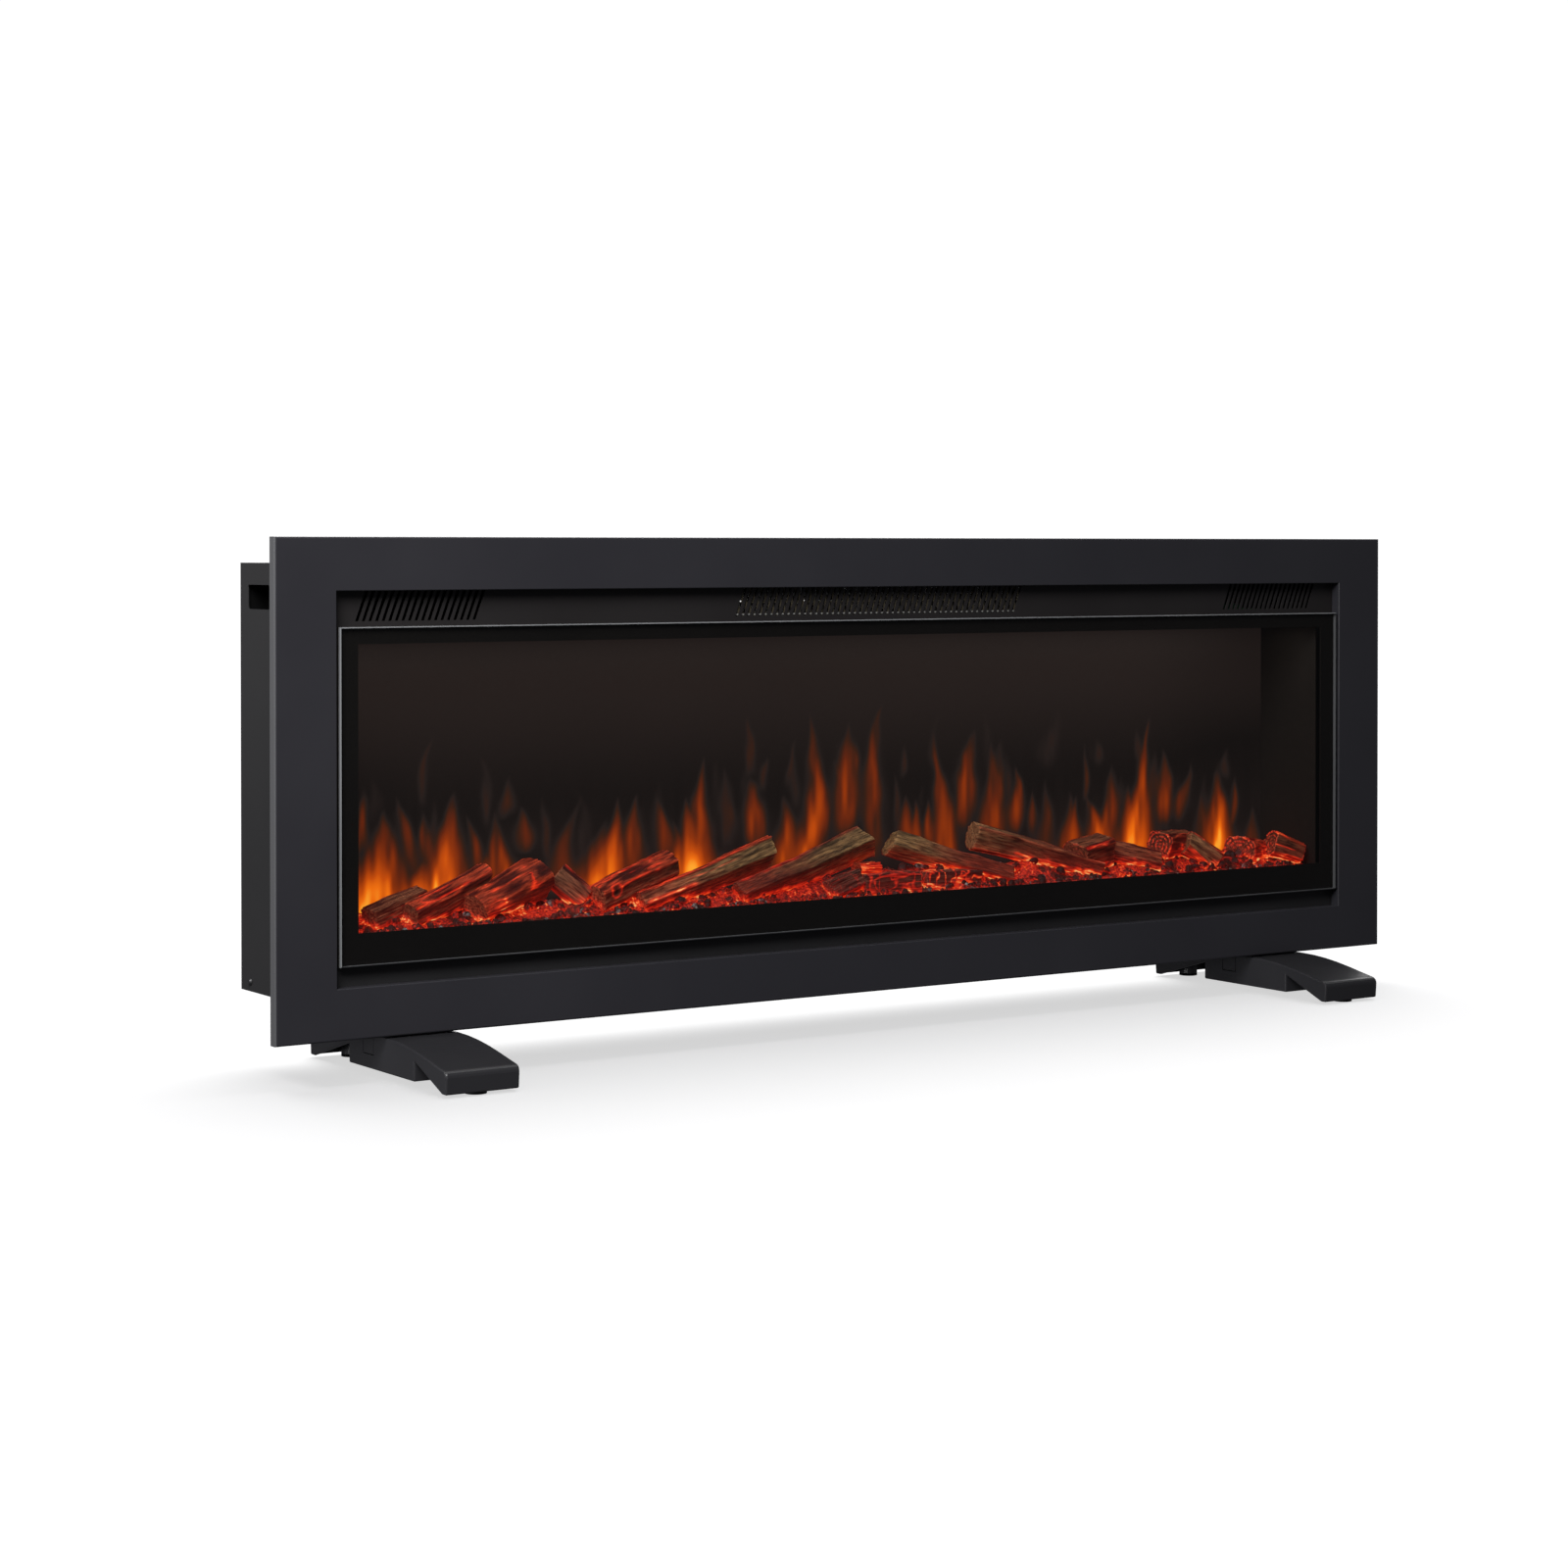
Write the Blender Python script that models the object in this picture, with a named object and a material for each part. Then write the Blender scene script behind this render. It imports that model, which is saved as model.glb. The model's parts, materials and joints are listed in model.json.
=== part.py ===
"""A linear electric fireplace on two feet: a steel casing with a glass front, a log bed with a
flame screen behind it, a fan heater above it and side controls. Metres, +Z up.

The fireplace's body is laid out in its own coordinates: x across from the middle, y back from
the front frame's face, z up from the front frame's lower edge. The empty stand_frame carries it
all, so that the finished object stands on z = 0 with its footprint centred on the origin.
"""

import math

import bmesh
import bpy
from mathutils import Matrix, Vector

# ---------------------------------------------------------------- driving dimensions

FRAME_WIDTH = 1.270
FRAME_HEIGHT = 0.430
FRAME_RETURN = 0.0104
FRAME_EDGE_RADIUS = 0.0018
FRAME_SHEET = 0.0015

OPENING_HALF = 0.5778
OPENING_LOW = 0.0446
OPENING_HIGH = 0.3838

CASING_HALF = 0.605
CASING_DEPTH = 0.1375
CASING_LOW = 0.0315
CASING_HIGH = 0.4075
CASING_FRONT = 0.0110
SHEET = 0.0010

GLASS_HALF = 0.5745
GLASS_LOW = 0.0625
GLASS_HIGH = 0.3528
GLASS_THICKNESS = 0.0040
GLASS_BEVEL = 0.0016

WINDOW_HALF = 0.5557
WINDOW_LOW = 0.0905
WINDOW_HIGH = 0.3380

GRILLE_FACE = 0.0120
GRILLE_LOW = 0.3450
GRILLE_HIGH = 0.4055
SLOT_PITCH = 0.0063
SLOT_WIDTH = 0.0032
SLOT_LOW = 0.3575
SLOT_HIGH = 0.3875
SLOT_LEAN = 0.0110
OUTER_SLOTS = 19
MIDDLE_SLOTS = 52
OUTER_GROUP_X = 0.4910

SCREEN_FACE = 0.0920
SCREEN_THICKNESS = 0.0025
FIREBOX_FRONT = 0.0130
FIREBOX_HALF_FRONT = 0.5570
FIREBOX_HALF_BACK = 0.5515
FIREBOX_FLOOR = 0.0715
FIREBOX_TOP = 0.3425
BED_TOP = 0.0832

ROTOR_Y = 0.1165
ROTOR_Z = 0.0800
ROTOR_HALF = 0.5250
ROTOR_PETALS = 24
ROTOR_RADIUS = 0.0110
SHAFT_RADIUS = 0.0022

HEATER_HALF = 0.1750
HEATER_LOW = 0.3490
HEATER_HIGH = 0.4050
FAN_Y = 0.0880
FAN_Z = 0.3770
FAN_RADIUS = 0.0215
FAN_LEFT = -0.1400
FAN_RIGHT = 0.1180
FAN_BLADES = 14

GRIP_FRONT = 0.0765
GRIP_BACK = 0.1216
GRIP_LOW = 0.3669
GRIP_HIGH = 0.3883
GRIP_DEPTH = 0.0180

CONTROL_Y = 0.0740
CONTROL_LOW = 0.2250
CONTROL_HIGH = 0.3350
BUTTON_RADIUS = 0.0050
BUTTON_Z = {"standby_button": 0.2820, "flame_button": 0.2620, "heater_button": 0.2420}
SWITCH_Z = 0.3120
SWITCH_TILT = math.radians(8.0)

CORD_X = 0.5750
CORD_Z = 0.0700
CORD_RADIUS = 0.0040

GROUND_GAP = 0.0380
FOOT_X = 0.4950
FOOT_WIDTH = 0.0700
FOOT_FRONT = -0.1070
FOOT_BACK = 0.1570
PAD_RADIUS = 0.0095
PAD_HEIGHT = 0.0022
PAD_FRONT = FOOT_FRONT + 0.0135
PAD_BACK = FOOT_BACK - 0.0135

GAP = 0.0003

# ---------------------------------------------------------------- finishes

FINISHES = {
    "powder_coat": ((0.020, 0.020, 0.023), 0.48, 0.25),
    "sheet_black": ((0.030, 0.030, 0.031), 0.55, 0.20),
    "inner_black": ((0.008, 0.008, 0.009), 0.70, 0.00),
    "glass": ((0.050, 0.045, 0.040), 0.04, 0.00),
    "smoked_screen": ((0.030, 0.018, 0.014), 0.35, 0.00),
    "zinc_steel": ((0.420, 0.430, 0.440), 0.40, 0.90),
    "bright_reflector": ((0.750, 0.750, 0.760), 0.15, 1.00),
    "aluminium": ((0.600, 0.610, 0.620), 0.35, 1.00),
    "black_plastic": ((0.022, 0.022, 0.024), 0.45, 0.00),
    "foot_plastic": ((0.034, 0.034, 0.037), 0.50, 0.00),
    "white_plastic": ((0.620, 0.620, 0.600), 0.45, 0.00),
    "circuit_board": ((0.020, 0.130, 0.050), 0.45, 0.00),
    "rubber": ((0.010, 0.010, 0.010), 0.85, 0.00),
    "ember_resin": ((0.300, 0.030, 0.012), 0.60, 0.00),
    "log_resin": ((0.160, 0.075, 0.045), 0.75, 0.00),
    "screw_steel": ((0.060, 0.060, 0.062), 0.35, 0.90),
}

materials = {}


def finish(slot):
    """The Principled material of this name, made on first use."""
    if slot not in materials:
        colour, roughness, metallic = FINISHES[slot]
        made = bpy.data.materials.new(slot)
        made.use_nodes = True
        shader = made.node_tree.nodes["Principled BSDF"]
        shader.inputs["Base Color"].default_value = (*colour, 1.0)
        shader.inputs["Roughness"].default_value = roughness
        shader.inputs["Metallic"].default_value = metallic
        made.diffuse_color = (*colour, 1.0)
        materials[slot] = made
    return materials[slot]


# ---------------------------------------------------------------- building blocks

# Turns that stand a flat outline up: (x, z) facing the front, and (y, z) facing the side.
FACING_FRONT = (math.pi / 2, 0.0, 0.0)
FACING_SIDE = (math.pi / 2, 0.0, math.pi / 2)
LYING_FLAT = (0.0, 0.0, 0.0)
ALONG_X = Matrix.Rotation(math.pi / 2, 4, "Y")


def clear_scene():
    for thing in list(bpy.data.objects):
        bpy.data.objects.remove(thing, do_unlink=True)


def add_object(name, data, slot, place=(0, 0, 0), turn=(0, 0, 0)):
    """A named object carried by stand_frame, with its finish."""
    thing = bpy.data.objects.new(name, data)
    bpy.context.scene.collection.objects.link(thing)
    thing.parent = bpy.data.objects["stand_frame"]
    thing.location = place
    thing.rotation_euler = turn
    data.materials.append(finish(slot))
    return thing


def mesh_from(name, bm):
    bmesh.ops.recalc_face_normals(bm, faces=bm.faces)
    data = bpy.data.meshes.new(name)
    bm.to_mesh(data)
    bm.free()
    return data


def round_off(thing, angle=40):
    """Shades a round piece smooth, with its hard edges kept sharp."""
    thing.data.shade_smooth()
    thing.data.set_sharp_from_angle(angle=math.radians(angle))


def soften(thing, width, segments=2):
    """Rounds the edges of a piece."""
    bevel = thing.modifiers.new("soft_edges", "BEVEL")
    bevel.width = width
    bevel.segments = segments
    bevel.limit_method = "ANGLE"
    bevel.angle_limit = math.radians(50)


def plate(name, outline, thickness, slot, place, turn, holes=()):
    """A flat outline with holes, extruded evenly to both sides of its plane."""
    data = bpy.data.curves.new(name, "CURVE")
    data.dimensions = "2D"
    data.fill_mode = "BOTH"
    data.extrude = thickness / 2
    for loop in (outline, *holes):
        spline = data.splines.new("POLY")
        spline.points.add(len(loop) - 1)
        for point, (a, b) in zip(spline.points, loop):
            point.co = (a, b, 0.0, 1.0)
        spline.use_cyclic_u = True
    return add_object(name, data, slot, place, turn)


def prism(name, outline, thickness, slot, place, turn):
    """A flat outline extruded evenly to both sides of its plane, as a mesh."""
    bm = bmesh.new()
    face = bm.faces.new([bm.verts.new((a, b, -thickness / 2)) for a, b in outline])
    grown = bmesh.ops.extrude_face_region(bm, geom=[face])
    moved = [v for v in grown["geom"] if isinstance(v, bmesh.types.BMVert)]
    bmesh.ops.translate(bm, verts=moved, vec=(0, 0, thickness))
    return add_object(name, mesh_from(name, bm), slot, place, turn)


def rectangle(low_a, low_b, high_a, high_b):
    return [(low_a, low_b), (high_a, low_b), (high_a, high_b), (low_a, high_b)]


def rounded_rectangle(low_a, low_b, high_a, high_b, radius, steps=4):
    corners = (
        (high_a - radius, high_b - radius, 0),
        (low_a + radius, high_b - radius, 1),
        (low_a + radius, low_b + radius, 2),
        (high_a - radius, low_b + radius, 3),
    )
    return [
        (a + radius * math.cos(angle), b + radius * math.sin(angle))
        for a, b, quarter in corners
        for angle in ((quarter + step / steps) * math.pi / 2 for step in range(steps + 1))
    ]


def circle(a, b, radius, sides):
    return [
        (a + radius * math.cos(2 * math.pi * k / sides), b + radius * math.sin(2 * math.pi * k / sides))
        for k in range(sides)
    ]


def add_box(bm, low, high):
    """A box between two corners, added to a bmesh."""
    size = [h - l for l, h in zip(low, high)]
    middle = [(h + l) / 2 for l, h in zip(low, high)]
    move = Matrix.Translation(middle) @ Matrix.Diagonal((*size, 1.0))
    bmesh.ops.create_cube(bm, size=1.0, matrix=move)


def box(name, low, high, slot, bevel=0.0):
    """A box between two corners, with its origin at its middle."""
    middle = [(h + l) / 2 for l, h in zip(low, high)]
    bm = bmesh.new()
    add_box(bm, [l - m for l, m in zip(low, middle)], [h - m for h, m in zip(high, middle)])
    thing = add_object(name, mesh_from(name, bm), slot, middle)
    if bevel:
        soften(thing, bevel)
    return thing


def add_rod(bm, start, length, radius, sides):
    """A rod along +X from start, added to a bmesh."""
    middle = Vector(start) + Vector((length / 2, 0, 0))
    bmesh.ops.create_cone(
        bm,
        cap_ends=True,
        segments=sides,
        radius1=radius,
        radius2=radius,
        depth=length,
        matrix=Matrix.Translation(middle) @ ALONG_X,
    )


def mitred_ring(name, outer, inner, profile, slot, y):
    """A closed profile carried round a rectangle with mitred corners.

    outer and inner are (low x, low z, high x, high z). A profile point is (edge, inset, depth):
    it lies inset towards the ring's middle line from that edge, and depth behind the face.
    """
    bm = bmesh.new()
    rings = []
    for side_x, side_z in ((0, 1), (2, 1), (2, 3), (0, 3)):
        ring = []
        for edge, inset, depth in profile:
            base = outer if edge == "outer" else inner
            inward = inset if edge == "outer" else -inset
            x = base[side_x] + (inward if side_x == 0 else -inward)
            z = base[side_z] + (inward if side_z == 1 else -inward)
            ring.append(bm.verts.new((x, depth, z)))
        rings.append(ring)
    count = len(profile)
    for k in range(4):
        here, there = rings[k], rings[(k + 1) % 4]
        for i in range(count):
            j = (i + 1) % count
            bm.faces.new((here[i], here[j], there[j], there[i]))
    thing = add_object(name, mesh_from(name, bm), slot, (0, y, 0))
    return thing


def cut(thing, tool):
    """Takes a hidden tool's shape out of a piece."""
    tool.hide_render = True
    tool.display_type = "WIRE"
    boolean = thing.modifiers.new("cut_" + tool.name, "BOOLEAN")
    boolean.operation = "DIFFERENCE"
    boolean.object = tool


def join(thing, other):
    """Adds a hidden helper's shape to a piece."""
    other.hide_render = True
    other.display_type = "WIRE"
    boolean = thing.modifiers.new("join_" + other.name, "BOOLEAN")
    boolean.operation = "UNION"
    boolean.object = other


# ---------------------------------------------------------------- front


def make_front_frame():
    """The trim: a folded steel frame with a rounded outer edge and a return round the opening."""
    radius = FRAME_EDGE_RADIUS
    arc = [
        ("outer", radius - radius * math.sin(a), radius - radius * math.cos(a))
        for a in (math.pi / 2 * k / 4 for k in range(4, -1, -1))
    ]
    sheet = FRAME_SHEET
    profile = [
        ("outer", 0.0, FRAME_RETURN),
        *arc,
        ("inner", 0.0006, 0.0),
        ("inner", 0.0, 0.0006),
        ("inner", 0.0, FRAME_RETURN),
        ("inner", sheet, FRAME_RETURN),
        ("inner", sheet, sheet + 0.0006),
        ("outer", sheet, sheet + 0.0006),
        ("outer", sheet, FRAME_RETURN),
    ]
    outer = (-FRAME_WIDTH / 2, 0.0, FRAME_WIDTH / 2, FRAME_HEIGHT)
    inner = (-OPENING_HALF, OPENING_LOW, OPENING_HALF, OPENING_HIGH)
    round_off(mitred_ring("front_frame", outer, inner, profile, "powder_coat", 0.0), 50)


def make_glass():
    """The glass with its ground edge, and the black steel carrier that it is bonded to."""
    middle_z = (GLASS_LOW + GLASS_HIGH) / 2
    half_z = (GLASS_HIGH - GLASS_LOW) / 2
    bm = bmesh.new()
    add_box(bm, (-GLASS_HALF, 0.0, -half_z), (GLASS_HALF, GLASS_THICKNESS, half_z))
    front = [e for e in bm.edges if all(abs(v.co.y) < 1e-6 for v in e.verts)]
    bmesh.ops.bevel(bm, geom=front, offset=GLASS_BEVEL, segments=1, affect="EDGES")
    add_object("front_glass", mesh_from("front_glass", bm), "glass", (0, 0, middle_z))

    outer = (-GLASS_HALF + GAP, GLASS_LOW + GAP, GLASS_HALF - GAP, GLASS_HIGH - GAP)
    inner = (-WINDOW_HALF, WINDOW_LOW, WINDOW_HALF, WINDOW_HIGH)
    back = GRILLE_FACE - GLASS_THICKNESS - 2 * GAP
    profile = [
        ("outer", 0.0, 0.0),
        ("inner", 0.0, 0.0),
        ("inner", 0.0, SHEET),
        ("outer", SHEET, SHEET),
        ("outer", SHEET, back),
        ("outer", 0.0, back),
    ]
    mitred_ring("glass_carrier", outer, inner, profile, "inner_black", GLASS_THICKNESS + GAP)


def slot_outline(x):
    """One slanted slot of the grille, with its foot at x."""
    half = SLOT_WIDTH / 2
    return [
        (x - half, SLOT_LOW),
        (x + half, SLOT_LOW),
        (x + half + SLOT_LEAN, SLOT_HIGH),
        (x - half + SLOT_LEAN, SLOT_HIGH),
    ]


def slot_row(middle, count):
    start = middle - SLOT_PITCH * (count - 1) / 2 - SLOT_LEAN / 2
    return [slot_outline(start + SLOT_PITCH * k) for k in range(count)]


def make_grille():
    """The grille strip above the glass, and the wire guard behind its middle slots."""
    slots = [
        *slot_row(-OUTER_GROUP_X, OUTER_SLOTS),
        *slot_row(0.0, MIDDLE_SLOTS),
        *slot_row(OUTER_GROUP_X, OUTER_SLOTS),
    ]
    half = CASING_HALF - SHEET - GAP
    place = (0, GRILLE_FACE + SHEET / 2, 0)
    strip = rectangle(-half, GRILLE_LOW, half, GRILLE_HIGH)
    plate("vent_panel", strip, SHEET, "sheet_black", place, FACING_FRONT, slots)

    columns, wire = 20, 0.0016
    half = HEATER_HALF - SHEET - GAP
    low, high = HEATER_LOW + SHEET + GAP, HEATER_HIGH - SHEET - GAP
    pitch = (2 * half - wire) / columns
    rise = (high - low - wire) / 2
    holes = [
        rectangle(
            -half + wire + pitch * i,
            low + wire + rise * j,
            -half + pitch * (i + 1),
            low + rise * (j + 1),
        )
        for i in range(columns)
        for j in range(2)
    ]
    place = (0, 0.0180, 0)
    plate("heater_guard", rectangle(-half, low, half, high), wire, "zinc_steel", place, FACING_FRONT, holes)


# ---------------------------------------------------------------- casing


def make_casing():
    """Top cover, bottom pan and rear panel, each a folded or flat steel sheet."""
    back = CASING_DEPTH - SHEET - GAP
    half = CASING_HALF - SHEET - GAP
    lip = 0.012
    top = [
        (CASING_FRONT, CASING_HIGH),
        (CASING_FRONT, CASING_HIGH - SHEET),
        (back - SHEET, CASING_HIGH - SHEET),
        (back - SHEET, CASING_HIGH - lip),
        (back, CASING_HIGH - lip),
        (back, CASING_HIGH),
    ]
    plate("top_cover", top, 2 * half, "sheet_black", (0, 0, 0), FACING_SIDE)
    bottom = [
        (GRILLE_FACE, CASING_LOW),
        (back, CASING_LOW),
        (back, CASING_LOW + lip),
        (back - SHEET, CASING_LOW + lip),
        (back - SHEET, CASING_LOW + SHEET),
        (GRILLE_FACE + SHEET, CASING_LOW + SHEET),
        (GRILLE_FACE + SHEET, FIREBOX_FLOOR - SHEET - GAP),
        (GRILLE_FACE, FIREBOX_FLOOR - SHEET - GAP),
    ]
    plate("bottom_pan", bottom, 2 * half, "sheet_black", (0, 0, 0), FACING_SIDE)

    intake = [
        rounded_rectangle(x - 0.0022, 0.352, x + 0.0022, 0.388, 0.0015, 1)
        for x in (-0.1575 + 0.015 * k for k in range(22))
    ]
    hooks = [rounded_rectangle(x - 0.014, 0.300, x + 0.014, 0.312, 0.004, 2) for x in (-0.400, 0.400)]
    gland = [circle(CORD_X, CORD_Z, CORD_RADIUS + 0.0022, 16)]
    place = (0, CASING_DEPTH - SHEET / 2, 0)
    sheet = rectangle(-CASING_HALF, CASING_LOW, CASING_HALF, CASING_HIGH)
    plate("rear_panel", sheet, SHEET, "sheet_black", place, FACING_FRONT, [*intake, *hooks, *gland])


def make_end_panel(name, side):
    """An end of the casing, with its grip slot. The right one also takes the controls."""
    low_y, high_y = CASING_FRONT, CASING_DEPTH - SHEET - GAP
    holes = [rounded_rectangle(GRIP_FRONT, GRIP_LOW, GRIP_BACK, GRIP_HIGH, 0.002, 2)]
    if side > 0:
        holes.append(
            rectangle(CONTROL_Y - 0.011, CONTROL_LOW + 0.004, CONTROL_Y + 0.011, CONTROL_HIGH - 0.004)
        )
    outline = rectangle(low_y, CASING_LOW, high_y, CASING_HIGH)
    place = (side * (CASING_HALF - SHEET / 2), 0, 0)
    plate(name, outline, SHEET, "sheet_black", place, FACING_SIDE, holes)


def make_grip_cup(name, side):
    """The plastic pocket behind a grip slot: a tray open towards the outside."""
    wall = 0.0015
    margin = 0.004
    low = (-GRIP_DEPTH, GRIP_FRONT - margin, GRIP_LOW - margin)
    high = (0.0, GRIP_BACK + margin, GRIP_HIGH + margin)
    bm = bmesh.new()
    add_box(bm, low, high)
    mouth = [f for f in bm.faces if all(abs(v.co.x) < 1e-6 for v in f.verts)]
    bmesh.ops.inset_region(bm, faces=mouth, thickness=wall)
    push = bmesh.ops.extrude_face_region(bm, geom=mouth)
    moved = [v for v in push["geom"] if isinstance(v, bmesh.types.BMVert)]
    bmesh.ops.translate(bm, verts=moved, vec=(-GRIP_DEPTH + wall, 0, 0))
    bmesh.ops.delete(bm, geom=mouth, context="FACES")
    if side < 0:
        bmesh.ops.transform(bm, matrix=Matrix.Scale(-1, 4, (1, 0, 0)), verts=bm.verts)
    place = (side * (CASING_HALF - SHEET - GAP), 0, 0)
    add_object(name, mesh_from(name, bm), "black_plastic", place)


def make_end_screw(name, side):
    """A domed screw head low on each end, near the back."""
    height = 0.0016
    bm = bmesh.new()
    bmesh.ops.create_cone(
        bm, cap_ends=True, segments=16, radius1=0.0035, radius2=0.0022, depth=height, matrix=ALONG_X
    )
    if side < 0:
        bmesh.ops.transform(bm, matrix=Matrix.Rotation(math.pi, 4, "Z"), verts=bm.verts)
    place = (side * (CASING_HALF + GAP + height / 2), 0.1180, 0.0400)
    round_off(add_object(name, mesh_from(name, bm), "screw_steel", place))


# ---------------------------------------------------------------- firebox


def make_firebox():
    """The liners, ceiling and tray round the log bed, and the smoked screen at its back."""
    back = SCREEN_FACE - GAP
    low, high = FIREBOX_FLOOR + GAP, FIREBOX_TOP - GAP
    wall = 0.0012
    for name, side in (("left_liner", -1), ("right_liner", 1)):
        outline = [
            (side * FIREBOX_HALF_FRONT, FIREBOX_FRONT + GAP),
            (side * (FIREBOX_HALF_FRONT + wall), FIREBOX_FRONT + GAP),
            (side * (FIREBOX_HALF_BACK + wall), back),
            (side * FIREBOX_HALF_BACK, back),
        ]
        plate(name, outline, high - low, "inner_black", (0, 0, (low + high) / 2), LYING_FLAT)
    wide = FIREBOX_HALF_FRONT + 0.010
    rear = SCREEN_FACE + SCREEN_THICKNESS
    box("ceiling_panel", (-wide, FIREBOX_FRONT + GAP, FIREBOX_TOP), (wide, rear, FIREBOX_TOP + SHEET), "inner_black")
    box("ember_tray", (-wide, FIREBOX_FRONT + GAP, FIREBOX_FLOOR - SHEET), (wide, rear, FIREBOX_FLOOR), "zinc_steel")
    screen_half = FIREBOX_HALF_BACK + 0.006
    box(
        "flame_screen",
        (-screen_half, SCREEN_FACE, FIREBOX_FLOOR + GAP),
        (screen_half, rear, FIREBOX_TOP - GAP),
        "smoked_screen",
    )


def make_ember_bed():
    """The moulded bed under the logs: a slab with a raised front edge and a back step."""
    rim = 0.0895
    back = SCREEN_FACE - 2 * GAP
    outline = [
        (FIREBOX_FRONT + 2 * GAP, FIREBOX_FLOOR + GAP),
        (back, FIREBOX_FLOOR + GAP),
        (back, rim + 0.003),
        (back - 0.006, rim),
        (back - 0.010, BED_TOP),
        (FIREBOX_FRONT + 0.0060, BED_TOP),
        (FIREBOX_FRONT + 0.0030, rim),
        (FIREBOX_FRONT + 2 * GAP, rim),
    ]
    plate("ember_bed", outline, 2 * (FIREBOX_HALF_BACK - GAP), "ember_resin", (0, 0, 0), FACING_SIDE)


# Each log: its two ends as (x, y, z) on its middle line, then its radius at those ends.
LOGS = {
    "log_01": ((-0.5280, 0.034, 0.0935), (-0.4750, 0.062, 0.1120), 0.0090, 0.0085),
    "log_02": ((-0.4680, 0.030, 0.0950), (-0.4130, 0.066, 0.1225), 0.0095, 0.0110),
    "log_03": ((-0.4000, 0.032, 0.0985), (-0.3560, 0.066, 0.1210), 0.0120, 0.0150),
    "log_04": ((-0.3250, 0.074, 0.1180), (-0.3060, 0.062, 0.1000), 0.0095, 0.0080),
    "log_05": ((-0.2980, 0.032, 0.0975), (-0.2180, 0.066, 0.1270), 0.0105, 0.0120),
    "log_06": ((-0.2560, 0.026, 0.0945), (-0.1060, 0.066, 0.1320), 0.0070, 0.0110),
    "log_07": ((-0.1480, 0.028, 0.0965), (0.0000, 0.062, 0.1370), 0.0085, 0.0125),
    "log_08": ((0.0340, 0.062, 0.1310), (0.1770, 0.028, 0.0950), 0.0115, 0.0085),
    "log_09": ((0.1230, 0.064, 0.1365), (0.2850, 0.030, 0.0965), 0.0125, 0.0085),
    "log_10": ((0.2480, 0.068, 0.1060), (0.2880, 0.072, 0.1240), 0.0120, 0.0125),
    "log_11": ((0.3080, 0.052, 0.1080), (0.3500, 0.034, 0.0945), 0.0085, 0.0085),
    "log_12": ((0.3730, 0.048, 0.1130), (0.4100, 0.064, 0.1110), 0.0125, 0.0110),
    "log_13": ((0.4060, 0.038, 0.1150), (0.4420, 0.028, 0.0950), 0.0095, 0.0085),
    "log_14": ((0.4600, 0.047, 0.1100), (0.4920, 0.064, 0.1060), 0.0130, 0.0110),
}
LOG_SIDES = 9
LOG_STATIONS = 4


def make_log(name, start, end, start_radius, end_radius):
    """A log of the set: a tapered, slightly uneven billet between two points."""
    start, end = Vector(start), Vector(end)
    middle = (start + end) / 2
    axis = (end - start).normalized()
    across = axis.cross(Vector((0, 0, 1))).normalized()
    upward = across.cross(axis)
    order = int(name[-2:])
    bm = bmesh.new()
    rings = []
    for station in range(LOG_STATIONS):
        along = station / (LOG_STATIONS - 1)
        centre = start.lerp(end, along) - middle
        radius = start_radius + (end_radius - start_radius) * along
        ring = []
        for k in range(LOG_SIDES):
            angle = 2 * math.pi * k / LOG_SIDES
            uneven = 1.0 + 0.06 * math.sin(2 * angle + order) + 0.03 * math.sin(3 * angle + order * along)
            spoke = across * math.cos(angle) + upward * math.sin(angle)
            ring.append(bm.verts.new(centre + spoke * radius * uneven * 0.94))
        rings.append(ring)
    for here, there in zip(rings, rings[1:]):
        for k in range(LOG_SIDES):
            j = (k + 1) % LOG_SIDES
            bm.faces.new((here[k], here[j], there[j], there[k]))
    bm.faces.new(rings[0])
    bm.faces.new(rings[-1])
    round_off(add_object(name, mesh_from(name, bm), "log_resin", middle))


# ---------------------------------------------------------------- flame works


def flame_outline(x, width, height):
    """One flame-shaped cut, from its foot up to its tip and down again."""
    foot = 0.100
    right = [(0.50, 0.00), (0.42, 0.22), (0.22, 0.50), (0.16, 0.75)]
    left = [(-0.10, 0.70), (-0.30, 0.45), (-0.50, 0.18)]
    points = [*right, (0.05, 1.00), *left]
    return [(x + a * width, foot + b * height) for a, b in points]


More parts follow.
